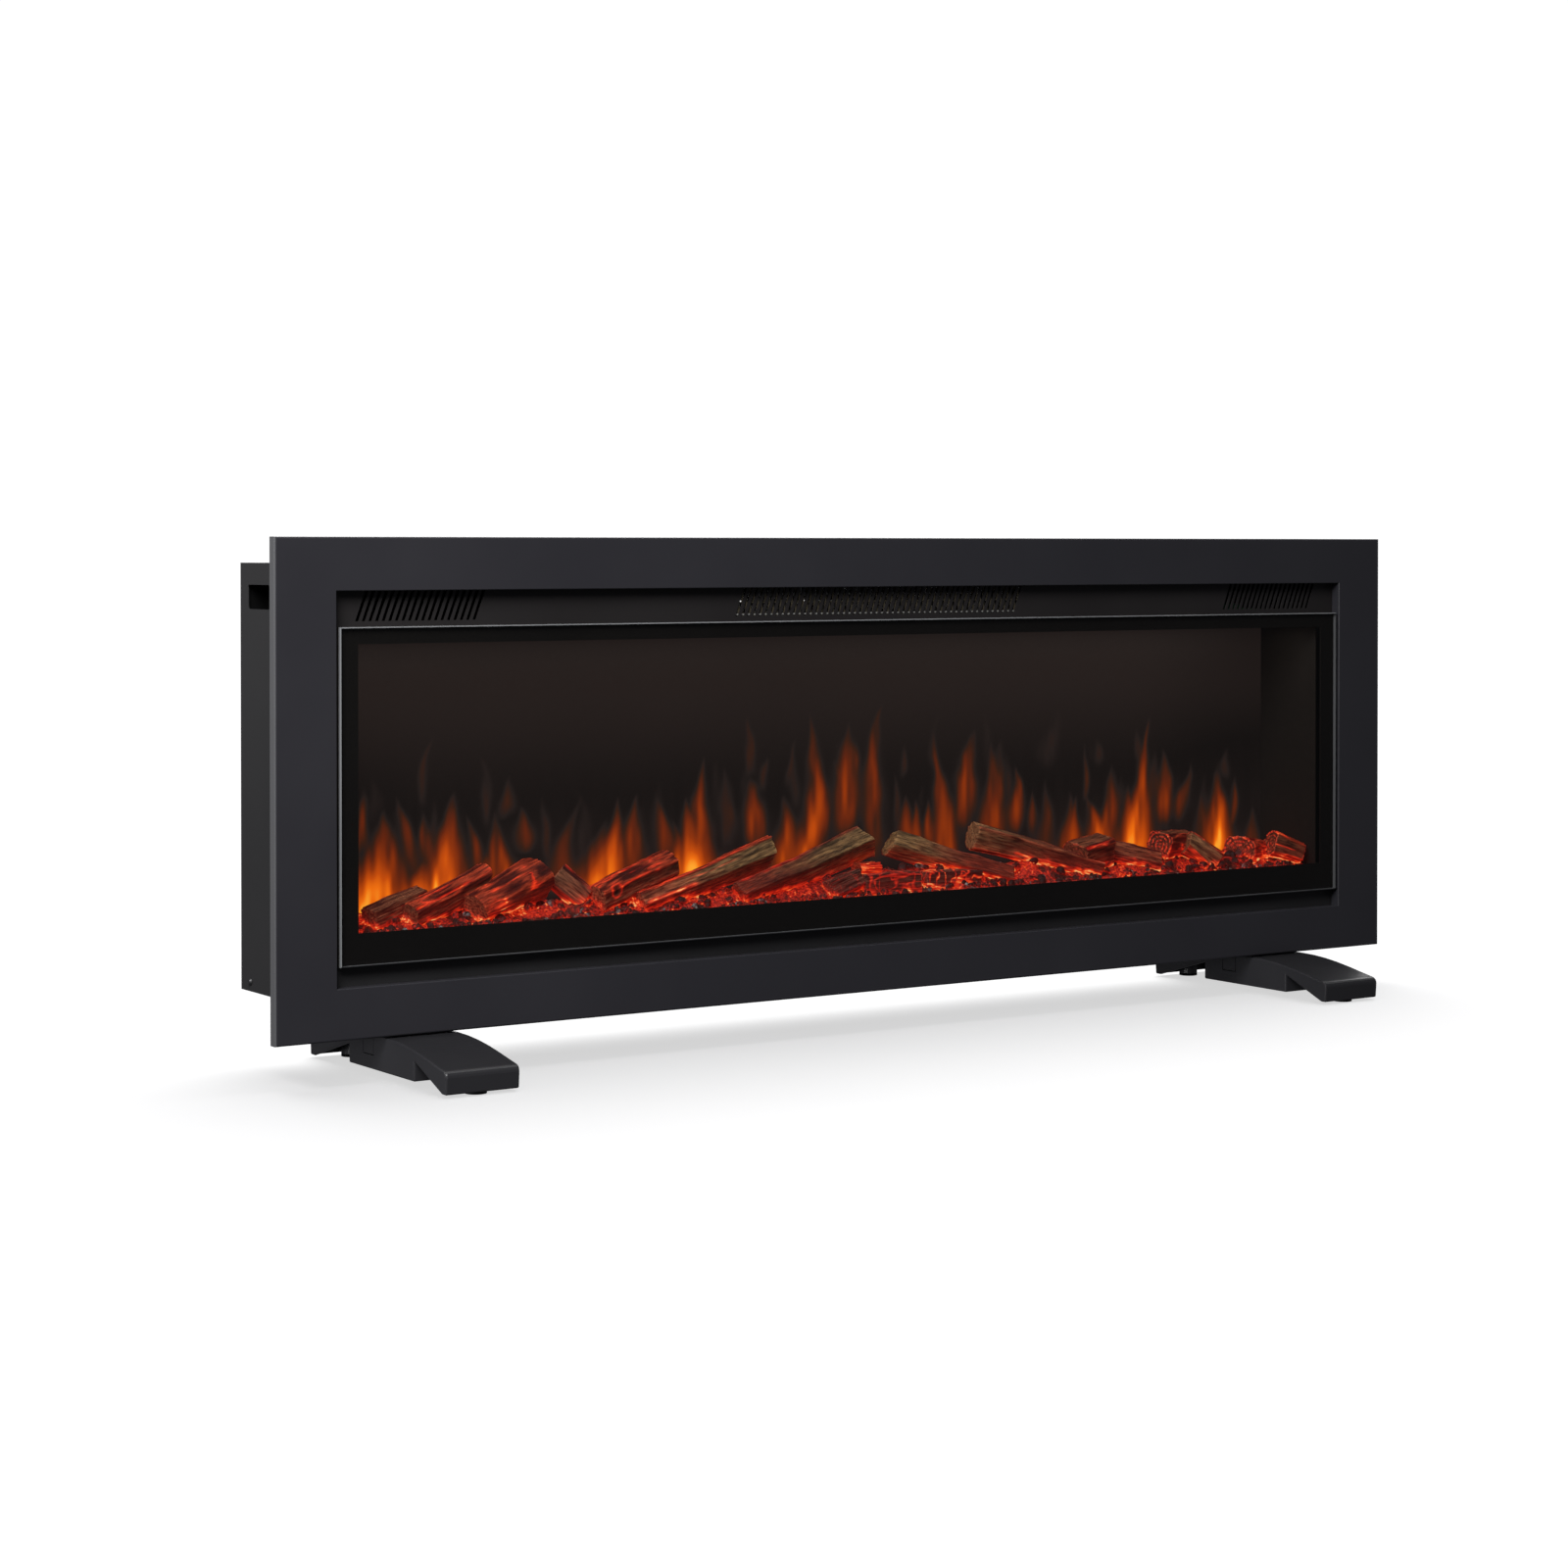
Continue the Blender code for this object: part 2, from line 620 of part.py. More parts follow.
def make_flame_works():
    """Flame cut-out plate, reflector rotor with its bush and motor, and the two LED boards."""
    template_y = 0.0990
    flames = [
        flame_outline(-0.50 + 0.0556 * k, 0.026, 0.085 + 0.035 * math.sin(2.3 * k))
        for k in range(19)
    ]
    outline = rectangle(-0.5450, FIREBOX_FLOOR + 0.004, 0.5450, 0.2400)
    place = (0, template_y + 0.0004, 0)
    plate("flame_template", outline, 0.0008, "zinc_steel", place, FACING_FRONT, flames)

    bm = bmesh.new()
    add_rod(bm, (-ROTOR_HALF, 0, 0), 2 * ROTOR_HALF, SHAFT_RADIUS, 12)
    rotor = add_object("flame_rotor", mesh_from("flame_rotor", bm), "bright_reflector", (0, ROTOR_Y, ROTOR_Z))
    bm = bmesh.new()
    pitch = 2 * (ROTOR_HALF - 0.030) / (ROTOR_PETALS - 1)
    for k in range(ROTOR_PETALS):
        petal = bmesh.ops.create_cube(bm, size=1.0)["verts"]
        shape = Matrix.Diagonal((0.014, 2 * ROTOR_RADIUS, 0.0008, 1.0))
        twist = Matrix.Rotation(math.radians(67 * k), 4, "X") @ Matrix.Rotation(math.radians(18), 4, "Y")
        shift = Matrix.Translation((-ROTOR_HALF + 0.030 + pitch * k, 0, 0))
        bmesh.ops.transform(bm, matrix=shift @ twist @ shape, verts=petal)
    petals = add_object("rotor_petals_helper", mesh_from("rotor_petals", bm), "bright_reflector", rotor.location)
    join(rotor, petals)

    bore = circle(ROTOR_Y, ROTOR_Z, SHAFT_RADIUS + GAP, 12)
    holder = rounded_rectangle(ROTOR_Y - 0.008, ROTOR_Z - 0.010, ROTOR_Y + 0.008, ROTOR_Z + 0.010, 0.003, 2)
    place = (-ROTOR_HALF + 0.006, 0, 0)
    plate("rotor_bush", holder, 0.006, "white_plastic", place, FACING_SIDE, [bore])
    body = circle(ROTOR_Y, ROTOR_Z, 0.0150, 24)
    place = (ROTOR_HALF + 0.004, 0, 0)
    plate("rotor_motor", body, 0.018, "zinc_steel", place, FACING_SIDE, [bore])

    strip_half = 0.5200
    box("flame_led_board", (-strip_half, 0.106, 0.0470), (strip_half, 0.126, 0.0486), "circuit_board")
    box("ember_led_board", (-strip_half, 0.040, 0.0440), (strip_half, 0.060, 0.0456), "circuit_board")


# ---------------------------------------------------------------- heater


def make_heater():
    """The air duct over the firebox with its fan, fan motor, bush and heating element."""
    outer = (-HEATER_HALF, HEATER_LOW, HEATER_HALF, HEATER_HIGH)
    inner = (-HEATER_HALF + SHEET, HEATER_LOW + SHEET, HEATER_HALF - SHEET, HEATER_HIGH - SHEET)
    front, back = 0.0160, 0.1280
    profile = [
        ("outer", 0.0, 0.0),
        ("inner", 0.0, 0.0),
        ("inner", 0.0, back - front),
        ("outer", 0.0, back - front),
    ]
    mitred_ring("heater_duct", outer, inner, profile, "zinc_steel", front)

    half, fin_low, fin_high = 0.1300, 0.3560, 0.3980
    columns = 16
    pitch = (2 * half - 0.002) / columns
    rise = (fin_high - fin_low - 0.002) / 2
    holes = [
        rectangle(
            -half + 0.002 + pitch * i,
            fin_low + 0.002 + rise * j,
            -half + pitch * (i + 1),
            fin_low + rise * (j + 1),
        )
        for i in range(columns)
        for j in range(2)
    ]
    block = rectangle(-half, fin_low, half, fin_high)
    plate("heating_element", block, 0.014, "aluminium", (0, 0.0400, 0), FACING_FRONT, holes)

    bm = bmesh.new()
    shaft_left, shaft_right = FAN_LEFT - 0.024, FAN_RIGHT + 0.022
    add_rod(bm, (shaft_left, 0, 0), shaft_right - shaft_left, 0.0030, 12)
    fan = add_object("fan_impeller", mesh_from("fan_impeller", bm), "aluminium", (0, FAN_Y, FAN_Z))
    bm = bmesh.new()
    disc = 0.0020
    for x in (FAN_LEFT, (FAN_LEFT + FAN_RIGHT - disc) / 2, FAN_RIGHT - disc):
        add_rod(bm, (x, 0, 0), disc, FAN_RADIUS, 24)
    discs = add_object("fan_discs_helper", mesh_from("fan_discs", bm), "aluminium", fan.location)
    bm = bmesh.new()
    for k in range(FAN_BLADES):
        blade = bmesh.ops.create_cube(bm, size=1.0)["verts"]
        shape = Matrix.Diagonal((FAN_RIGHT - FAN_LEFT - disc, 0.0010, 0.0060, 1.0))
        pitch_turn = Matrix.Rotation(math.radians(32), 4, "X")
        out = Matrix.Translation(((FAN_LEFT + FAN_RIGHT) / 2, 0, FAN_RADIUS - 0.0042))
        around = Matrix.Rotation(2 * math.pi * k / FAN_BLADES, 4, "X")
        bmesh.ops.transform(bm, matrix=around @ out @ pitch_turn @ shape, verts=blade)
    blades = add_object("fan_blades_helper", mesh_from("fan_blades", bm), "aluminium", fan.location)
    join(fan, discs)
    join(fan, blades)

    bore = circle(FAN_Y, FAN_Z, 0.0030 + GAP, 12)
    motor_left = FAN_RIGHT + 0.004
    motor_right = HEATER_HALF - SHEET - GAP
    body = circle(FAN_Y, FAN_Z, 0.0190, 24)
    place = ((motor_left + motor_right) / 2, 0, 0)
    plate("fan_motor", body, motor_right - motor_left, "zinc_steel", place, FACING_SIDE, [bore])
    bush_left, bush_right = -HEATER_HALF + SHEET + GAP, FAN_LEFT - 0.004
    place = ((bush_left + bush_right) / 2, 0, 0)
    holder = circle(FAN_Y, FAN_Z, 0.0100, 16)
    plate("fan_bush", holder, bush_right - bush_left, "rubber", place, FACING_SIDE, [bore])


# ---------------------------------------------------------------- controls


def make_controls():
    """Circuit board, side bezel, rocker switch, three push buttons and the cord's gland."""
    board = box("control_board", (0.3400, 0.0300, 0.3560), (0.5000, 0.1150, 0.3576), "circuit_board")
    bm = bmesh.new()
    for low, high in (
        ((-0.060, -0.030, -0.0004), (-0.035, -0.008, 0.020)),
        ((-0.020, -0.030, -0.0004), (-0.004, -0.014, 0.015)),
        ((0.015, -0.032, -0.0004), (0.055, 0.000, 0.006)),
        ((-0.050, 0.010, -0.0004), (-0.010, 0.030, 0.008)),
        ((0.010, 0.012, -0.0004), (0.060, 0.020, 0.010)),
    ):
        add_box(bm, low, high)
    parts = add_object("board_parts_helper", mesh_from("board_parts", bm), "black_plastic", board.location)
    join(board, parts)

    face = CASING_HALF + 0.0020
    seat = CASING_HALF + GAP
    outline = rounded_rectangle(CONTROL_Y - 0.015, CONTROL_LOW, CONTROL_Y + 0.015, CONTROL_HIGH, 0.003, 3)
    holes = [circle(CONTROL_Y, z, BUTTON_RADIUS + 0.0004, 20) for z in BUTTON_Z.values()]
    holes.append(rectangle(CONTROL_Y - 0.0074, SWITCH_Z - 0.0115, CONTROL_Y + 0.0074, SWITCH_Z + 0.0115))
    place = ((face + seat) / 2, 0, 0)
    plate("control_bezel", outline, face - seat, "black_plastic", place, FACING_SIDE, holes)

    for name, z in BUTTON_Z.items():
        bm = bmesh.new()
        add_rod(bm, (-0.0100, 0, 0), 0.0140, BUTTON_RADIUS, 20)
        button = add_object(name, mesh_from(name, bm), "black_plastic", (CASING_HALF, CONTROL_Y, z))
        round_off(button)

    # The rocker's side view: x out of the panel, z up, about its pivot at the origin.
    depth, half, dish = 0.0035, 0.0105, 0.0014
    outline = [
        (-0.0080, -half * 0.55),
        (depth, -half),
        (depth - dish, 0.0),
        (depth, half),
        (-0.0080, half * 0.55),
    ]
    place = (CASING_HALF, CONTROL_Y, SWITCH_Z)
    rocker = plate("main_switch", outline, 0.0140, "black_plastic", place, FACING_FRONT)
    rocker.rotation_euler = (math.pi / 2, SWITCH_TILT, 0.0)

    collar = circle(CORD_X, CORD_Z, 0.0095, 20)
    bore = circle(CORD_X, CORD_Z, CORD_RADIUS, 16)
    place = (0, CASING_DEPTH - SHEET - GAP - 0.0015, 0)
    plate("cord_gland", collar, 0.0030, "rubber", place, FACING_FRONT, [bore])


# ---------------------------------------------------------------- feet


FOOT_SOLE = PAD_HEIGHT + GAP - GROUND_GAP
FOOT_DECK = -0.0016
FOOT_WALL = 0.0026
TOE_TOP = -0.0150
TOE_BEND = 0.0060
ARCH_FOOT = -0.0145
BLOCK_FRONT = -0.0480
BLOCK_BACK = 0.0770
BLOCK_LOW = -0.0320
NECK_FRONT = 0.0135
NECK_BACK = 0.1070


def toe_top(tip, root, drop=0.0):
    """The top line of a toe as (y, z), from its bent nose at tip up to the deck at root."""
    inward = math.copysign(1.0, root - tip)
    bend = [
        (tip + inward * (TOE_BEND - TOE_BEND * math.cos(a)), TOE_TOP - TOE_BEND * (1 - math.sin(a)))
        for a in (math.radians(d) for d in (0, 20, 40, 60, 78))
    ]
    start = tip + inward * (TOE_BEND + 0.0010)
    slope = [
        (start + (root - start) * t, TOE_TOP + (FOOT_DECK - TOE_TOP) * math.sin(math.pi / 2 * t))
        for t in (k / 6 for k in range(1, 7))
    ]
    return [(y + inward * drop, z - drop) for y, z in (*bend, *slope)]


def foot_side():
    """The foot's side view in (y, z): two arched toes on a middle block that rises to the casing."""
    neck_top = CASING_LOW - GAP
    return [
        (FOOT_FRONT + 0.0080, FOOT_SOLE),
        (FOOT_FRONT + 0.0010, FOOT_SOLE),
        *toe_top(FOOT_FRONT, 0.0),
        (NECK_FRONT, FOOT_DECK),
        (NECK_FRONT, neck_top),
        (NECK_BACK, neck_top),
        *reversed(toe_top(FOOT_BACK, NECK_BACK)),
        (FOOT_BACK - 0.0010, FOOT_SOLE),
        (FOOT_BACK - 0.0080, FOOT_SOLE),
        (BLOCK_BACK, ARCH_FOOT),
        (BLOCK_BACK, BLOCK_LOW),
        (BLOCK_FRONT, BLOCK_LOW),
        (BLOCK_FRONT, ARCH_FOOT),
    ]


def hollow_side(tip, root, block_end):
    """The hollow under a toe, in the same side view, open downwards."""
    inward = math.copysign(1.0, root - tip)
    wall = tip + inward * FOOT_WALL
    under = [(y, z) for y, z in toe_top(tip, root, FOOT_WALL) if (block_end - y) * inward > 0.002]
    edge = block_end - inward * 0.0010
    return [(wall, FOOT_SOLE - 0.010), *under, (edge, under[-1][1] + 0.0005), (edge, FOOT_SOLE - 0.010)]


LATCH_FRONT = 0.0290
LATCH_BACK = 0.0480
LATCH_LOW = -0.0190
LATCH_HIGH = -0.0050
LATCH_THICKNESS = 0.0020


def make_foot(name, middle):
    """One moulded foot, hollow under its toes, with a spring latch in a window on its left side."""
    place = (middle, 0, 0)
    foot = prism(name, foot_side(), FOOT_WIDTH, "foot_plastic", place, FACING_SIDE)
    soften(foot, 0.0014, 2)
    inside = FOOT_WIDTH - 2 * FOOT_WALL
    bosses = bmesh.new()
    for end, tip, root, block_end, pad_y in (
        ("front", FOOT_FRONT, 0.0, BLOCK_FRONT, PAD_FRONT),
        ("back", FOOT_BACK, NECK_BACK, BLOCK_BACK, PAD_BACK),
    ):
        outline = hollow_side(tip, root, block_end)
        cutter = f"{name}_{end}_hollow_cutter"
        cut(foot, prism(cutter, outline, inside, "foot_plastic", place, FACING_SIDE))
        high = TOE_TOP - 0.0010
        bmesh.ops.create_cone(
            bosses,
            cap_ends=True,
            segments=16,
            radius1=PAD_RADIUS,
            radius2=PAD_RADIUS,
            depth=high - FOOT_SOLE,
            matrix=Matrix.Translation((0, pad_y, (high + FOOT_SOLE) / 2)),
        )
    helper = name + "_bosses_helper"
    join(foot, add_object(helper, mesh_from(helper, bosses), "foot_plastic", place))

    bm = bmesh.new()
    clear = 0.0008
    side = -FOOT_WIDTH / 2
    low = (side - 0.002, LATCH_FRONT - clear, LATCH_LOW - clear)
    high = (side + 0.0070, LATCH_BACK + clear, LATCH_HIGH + clear)
    add_box(bm, low, high)
    window = name + "_window_cutter"
    cut(foot, add_object(window, mesh_from(window, bm), "foot_plastic", place))

    height = LATCH_HIGH - LATCH_LOW
    tab = [
        (-LATCH_THICKNESS, 0.0),
        (-LATCH_THICKNESS, -height),
        (-0.0002, -height),
        (0.0014, -height * 0.82),
        (0.0, -height * 0.70),
        (0.0, 0.0),
    ]
    pivot = (middle + side + LATCH_THICKNESS, (LATCH_FRONT + LATCH_BACK) / 2, LATCH_HIGH)
    wide = LATCH_BACK - LATCH_FRONT
    prism(name + "_latch", tab, wide, "foot_plastic", pivot, FACING_FRONT)


def make_pad(name, x, y):
    """A rubber pad under a toe."""
    bm = bmesh.new()
    bmesh.ops.create_cone(
        bm, cap_ends=True, segments=24, radius1=PAD_RADIUS, radius2=PAD_RADIUS, depth=PAD_HEIGHT
    )
    place = (x, y, PAD_HEIGHT / 2 - GROUND_GAP)
    round_off(add_object(name, mesh_from(name, bm), "rubber", place))


# ---------------------------------------------------------------- assembly


def main():
    clear_scene()
    stand = bpy.data.objects.new("stand_frame", None)
    bpy.context.scene.collection.objects.link(stand)
    stand.location = (0.0, -(FOOT_FRONT + FOOT_BACK) / 2, GROUND_GAP)

    make_front_frame()
    make_glass()
    make_grille()
    make_casing()
    for name, side in (("left", -1), ("right", 1)):
        make_end_panel(name + "_end_panel", side)
        make_grip_cup(name + "_grip_cup", side)
        make_end_screw(name + "_end_screw", side)
    make_firebox()
    make_ember_bed()
    for name, (start, end, start_radius, end_radius) in LOGS.items():
        make_log(name, start, end, start_radius, end_radius)
    make_flame_works()
    make_heater()
    make_controls()
    for name, middle in (("left_foot", -FOOT_X), ("right_foot", FOOT_X)):
        make_foot(name, middle)
        make_pad(name + "_front_pad", middle, PAD_FRONT)
        make_pad(name + "_back_pad", middle, PAD_BACK)


main()
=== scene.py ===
"""The looks of the electric fireplace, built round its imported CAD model.

Lengths are in metres. The fireplace's own coordinates run x across from the middle, y back from
the front frame's face and z up from the frame's lower edge. placed() turns them into the row's.
"""

import json
import math
from types import SimpleNamespace

import bmesh
import bpy
import numpy as np
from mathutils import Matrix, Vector


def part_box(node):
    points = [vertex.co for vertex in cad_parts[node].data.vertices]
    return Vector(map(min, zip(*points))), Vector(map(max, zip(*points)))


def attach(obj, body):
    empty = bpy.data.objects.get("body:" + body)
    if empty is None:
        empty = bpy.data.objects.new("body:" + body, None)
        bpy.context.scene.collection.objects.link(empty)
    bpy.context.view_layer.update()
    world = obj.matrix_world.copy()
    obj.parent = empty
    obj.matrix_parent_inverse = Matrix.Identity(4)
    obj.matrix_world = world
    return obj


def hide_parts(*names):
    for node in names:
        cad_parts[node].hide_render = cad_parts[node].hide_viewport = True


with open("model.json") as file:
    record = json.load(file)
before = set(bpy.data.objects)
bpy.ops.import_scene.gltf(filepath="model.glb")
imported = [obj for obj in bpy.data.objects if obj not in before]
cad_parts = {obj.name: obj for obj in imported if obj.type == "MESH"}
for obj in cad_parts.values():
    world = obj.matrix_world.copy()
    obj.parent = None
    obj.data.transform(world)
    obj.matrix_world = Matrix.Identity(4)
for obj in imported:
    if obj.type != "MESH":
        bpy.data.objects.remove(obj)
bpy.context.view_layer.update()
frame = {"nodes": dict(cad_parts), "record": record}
NODES = frame["nodes"]

ORIGIN = np.array((0.0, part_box("front_frame")[0].y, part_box("front_frame")[0].z))


def placed(points):
    """Points in the fireplace's own coordinates, as row coordinates."""
    return np.asarray(points, float) + ORIGIN


def own_box(node):
    """The lowest and highest corner of a CAD node, in the fireplace's own coordinates."""
    low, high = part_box(node)
    return np.array(low) - ORIGIN, np.array(high) - ORIGIN


# ---------------------------------------------------------------- camera

CAMERA_YAW = math.radians(33.566)
CAMERA_PITCH = math.radians(0.761)

camera = bpy.data.objects.new("camera", bpy.data.cameras.new("camera"))
bpy.context.scene.collection.objects.link(camera)
camera.location = placed((-1.7577, -2.4647, 0.4191))
camera.rotation_euler = (math.pi / 2 - CAMERA_PITCH, 0.0, -CAMERA_YAW)
camera.data.sensor_width = 36.0
camera.data.lens = 73.14
camera.data.shift_x = 0.0003
camera.data.shift_y = -0.1226
camera.data.clip_end = 60.0
bpy.context.scene.camera = camera
bpy.context.scene.view_settings.view_transform = "Standard"

# ---------------------------------------------------------------- noise and small sums


def noise(points, cell, seed):
    """Smooth noise from -1 to 1 at each point, with features about one cell wide."""
    scaled = np.asarray(points, float) / cell
    base = np.floor(scaled).astype(np.int64)
    part = scaled - base
    part = part * part * (3 - 2 * part)
    total = np.zeros(scaled.shape[:-1])
    for corner in np.ndindex(2, 2, 2):
        at = base + np.array(corner)
        key = at[..., 0] * 73856093 ^ at[..., 1] * 19349663 ^ at[..., 2] * 83492791
        key = (key ^ (seed * 2654435761)) & 0xFFFFFFFF
        key = ((key ^ (key >> 13)) * 1274126177) & 0xFFFFFFFF
        value = ((key ^ (key >> 16)) & 0xFFFF) / 32767.5 - 1
        total += value * np.where(np.array(corner), part, 1 - part).prod(-1)
    return total


def rough_noise(points, cell, seed, octaves=3):
    """Noise summed over octaves, each half as wide and half as strong."""
    return sum(noise(points, np.asarray(cell) / 2**k, seed + k) / 2**k for k in range(octaves))


def blend(low, high, amount):
    """Colours from low to high by amount, where amount has one value per point."""
    amount = np.clip(amount, 0, 1)[..., None]
    return np.asarray(low) * (1 - amount) + np.asarray(high) * amount


def ease(value, start, end):
    """0 before start, 1 after end, smooth between."""
    t = np.clip((value - start) / (end - start), 0, 1)
    return t * t * (3 - 2 * t)


def linear(red, green, blue):
    """A colour given from 0 to 255, as linear light."""
    shares = [value / 255 for value in (red, green, blue)]
    return tuple(((s + 0.055) / 1.055) ** 2.4 if s > 0.0404 else s / 12.92 for s in shares)


# ---------------------------------------------------------------- materials


def new_material(name):
    """A material with its node tree and its shader."""
    material = bpy.data.materials.new(name)
    material.use_nodes = True
    return material, material.node_tree, material.node_tree.nodes["Principled BSDF"]


def coordinates(tree, stretch=(1, 1, 1), attribute=None):
    """The object's own coordinates, or a vertex attribute, scaled along each axis."""
    if attribute:
        source = tree.nodes.new("ShaderNodeAttribute")
        source.attribute_name = attribute
        output = source.outputs["Vector"]
    else:
        source = tree.nodes.new("ShaderNodeTexCoord")
        output = source.outputs["Object"]
    mapping = tree.nodes.new("ShaderNodeMapping")
    mapping.inputs["Scale"].default_value = stretch
    tree.links.new(output, mapping.inputs["Vector"])
    return mapping.outputs["Vector"]


def noise_node(tree, vector, size, detail=3.0):
    """A noise texture with features about size across."""
    node = tree.nodes.new("ShaderNodeTexNoise")
    node.inputs["Scale"].default_value = 1 / size
    node.inputs["Detail"].default_value = detail
    tree.links.new(vector, node.inputs["Vector"])
    return node.outputs["Fac"]


def mix_node(tree, factor, first, second, kind="MIX"):
    """Mixes two colours, each a colour or an output."""
    node = tree.nodes.new("ShaderNodeMix")
    node.data_type = "RGBA"
    node.blend_type = kind
    for index, value in ((0, factor), (6, first), (7, second)):
        if isinstance(value, bpy.types.NodeSocket):
            tree.links.new(value, node.inputs[index])
        elif index == 0:
            node.inputs[index].default_value = value
        else:
            node.inputs[index].default_value = (*value, 1.0)
    return node.outputs[2]


def map_node(tree, value, low, high, start=0.3, end=0.7):
    """Turns a value from start to end into one from low to high."""
    node = tree.nodes.new("ShaderNodeMapRange")
    tree.links.new(value, node.inputs["Value"])
    for name, number in (("From Min", start), ("From Max", end), ("To Min", low), ("To Max", high)):
        node.inputs[name].default_value = number
    return node.outputs["Result"]


def bump_node(tree, shader, height, distance):
    """Raises the surface by height, at most by distance."""
    node = tree.nodes.new("ShaderNodeBump")
    node.inputs["Distance"].default_value = distance
    tree.links.new(height, node.inputs["Height"])
    tree.links.new(node.outputs["Normal"], shader.inputs["Normal"])


def ramp_node(tree, value, stops):
    """A colour ramp through (place, colour) stops."""
    node = tree.nodes.new("ShaderNodeValToRGB")
    ramp = node.color_ramp
    ramp.elements[0].position, ramp.elements[0].color = stops[0][0], (*stops[0][1], 1.0)
    ramp.elements[1].position, ramp.elements[1].color = stops[-1][0], (*stops[-1][1], 1.0)
    for place, colour in stops[1:-1]:
        ramp.elements.new(place).color = (*colour, 1.0)
    tree.links.new(value, node.inputs["Fac"])
    return node.outputs["Color"]


def coating(name, dark, light, grain, rough, bump, metallic=0.0, specular=0.5, stretch=(1, 1, 1)):
    """A painted, moulded or metal surface: colour drift, fine grain, and uneven gloss."""
    material, tree, shader = new_material(name)
    vector = coordinates(tree, stretch)
    fine = noise_node(tree, vector, grain, 2.0)
    wide = noise_node(tree, coordinates(tree), 0.14, 4.0)
    drift = tree.nodes.new("ShaderNodeMath")
    drift.operation = "MULTIPLY_ADD"
    tree.links.new(fine, drift.inputs[0])
    drift.inputs[1].default_value = 0.5
    tree.links.new(map_node(tree, wide, 0.0, 0.5), drift.inputs[2])
    tree.links.new(mix_node(tree, drift.outputs[0], dark, light), shader.inputs["Base Color"])
    tree.links.new(map_node(tree, wide, rough[0], rough[1]), shader.inputs["Roughness"])
    shader.inputs["Metallic"].default_value = metallic
    shader.inputs["Specular IOR Level"].default_value = specular
    bump_node(tree, shader, fine, bump)
    return material


FINISH = {
    "powder_coat": coating(
        "powder_coat", (0.0150, 0.0145, 0.0180), (0.0185, 0.0179, 0.0218),
        grain=0.0007, rough=(0.42, 0.50), bump=0.00002, specular=0.4,
    ),
    "sheet_black": coating(
        "sheet_black", (0.010, 0.0098, 0.0105), (0.0135, 0.013, 0.0138),
        grain=0.0009, rough=(0.52, 0.62), bump=0.00003, specular=0.35,
    ),
    "inner_black": coating(
        "inner_black", (0.0105, 0.0088, 0.0076), (0.0150, 0.0128, 0.0112),
        grain=0.0010, rough=(0.60, 0.72), bump=0.00003, specular=0.25,
    ),
    "zinc_steel": coating(
        "zinc_steel", (0.28, 0.285, 0.29), (0.42, 0.425, 0.43),
        grain=0.006, rough=(0.46, 0.60), bump=0.00002, metallic=0.9,
    ),
    "bright_reflector": coating(
        "bright_reflector", (0.70, 0.70, 0.71), (0.82, 0.82, 0.83),
        grain=0.0012, rough=(0.12, 0.22), bump=0.00003, metallic=1.0,
    ),
    "aluminium": coating(
        "aluminium", (0.50, 0.505, 0.51), (0.64, 0.645, 0.65),
        grain=0.0008, rough=(0.48, 0.60), bump=0.00002, metallic=1.0, stretch=(8, 1, 1),
    ),
    "black_plastic": coating(
        "black_plastic", (0.011, 0.011, 0.012), (0.018, 0.018, 0.019),
        grain=0.0006, rough=(0.40, 0.52), bump=0.00003,
    ),
    "foot_plastic": coating(
        "foot_plastic", (0.0104, 0.0102, 0.0116), (0.0138, 0.0136, 0.0152),
        grain=0.0006, rough=(0.30, 0.38), bump=0.00004, specular=0.34,
    ),
    "white_plastic": coating(
        "white_plastic", (0.56, 0.56, 0.54), (0.66, 0.66, 0.64),
        grain=0.0010, rough=(0.38, 0.48), bump=0.00002,
    ),
    "circuit_board": coating(
        "circuit_board", (0.012, 0.090, 0.035), (0.028, 0.160, 0.065),
        grain=0.0030, rough=(0.35, 0.50), bump=0.00004,
    ),
    "rubber": coating(
        "rubber", (0.008, 0.008, 0.008), (0.014, 0.014, 0.014),
        grain=0.0008, rough=(0.75, 0.88), bump=0.00005, specular=0.3,
    ),
    "screw_steel": coating(
        "screw_steel", (0.05, 0.05, 0.052), (0.09, 0.09, 0.092),
        grain=0.0006, rough=(0.30, 0.42), bump=0.00002, metallic=0.9,
    ),
}

# ---------------------------------------------------------------- pieces


def piece(name, points, faces, materials, replaces=(), smooth=True, kinds=None):
    """A mesh in the fireplace's own coordinates that rides on it.

    kinds holds, for each face, which of the materials it has.
    """
    data = bpy.data.meshes.new(name)
    data.from_pydata(placed(points).tolist(), [], [tuple(int(i) for i in f) for f in faces])
    data.update()
    thing = bpy.data.objects.new(name, data)
    bpy.context.scene.collection.objects.link(thing)
    for material in materials:
        data.materials.append(material)
    if kinds is not None:
        data.polygons.foreach_set("material_index", np.asarray(kinds, np.int32))
    if smooth:
        data.shade_smooth()
    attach(thing, "fireplace")
    if replaces:
        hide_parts(*replaces)
    return thing


def outline(low, high, up=2, inset=0.0):
    """The four corners of a box across x and along the axis numbered up, from its lowest round."""
    left, right = low[0] + inset, high[0] - inset
    bottom, top = low[up] + inset, high[up] - inset
    return [(left, bottom), (right, bottom), (right, top), (left, top)]


def add_values(thing, name, values):
    """Stores one number, vector or colour at each vertex."""
    values = np.asarray(values, np.float32)
    if values.ndim == 1:
        attribute = thing.data.attributes.new(name, "FLOAT", "POINT")
        attribute.data.foreach_set("value", values)
    else:
        attribute = thing.data.attributes.new(name, "FLOAT_VECTOR", "POINT")
        attribute.data.foreach_set("vector", values.ravel())


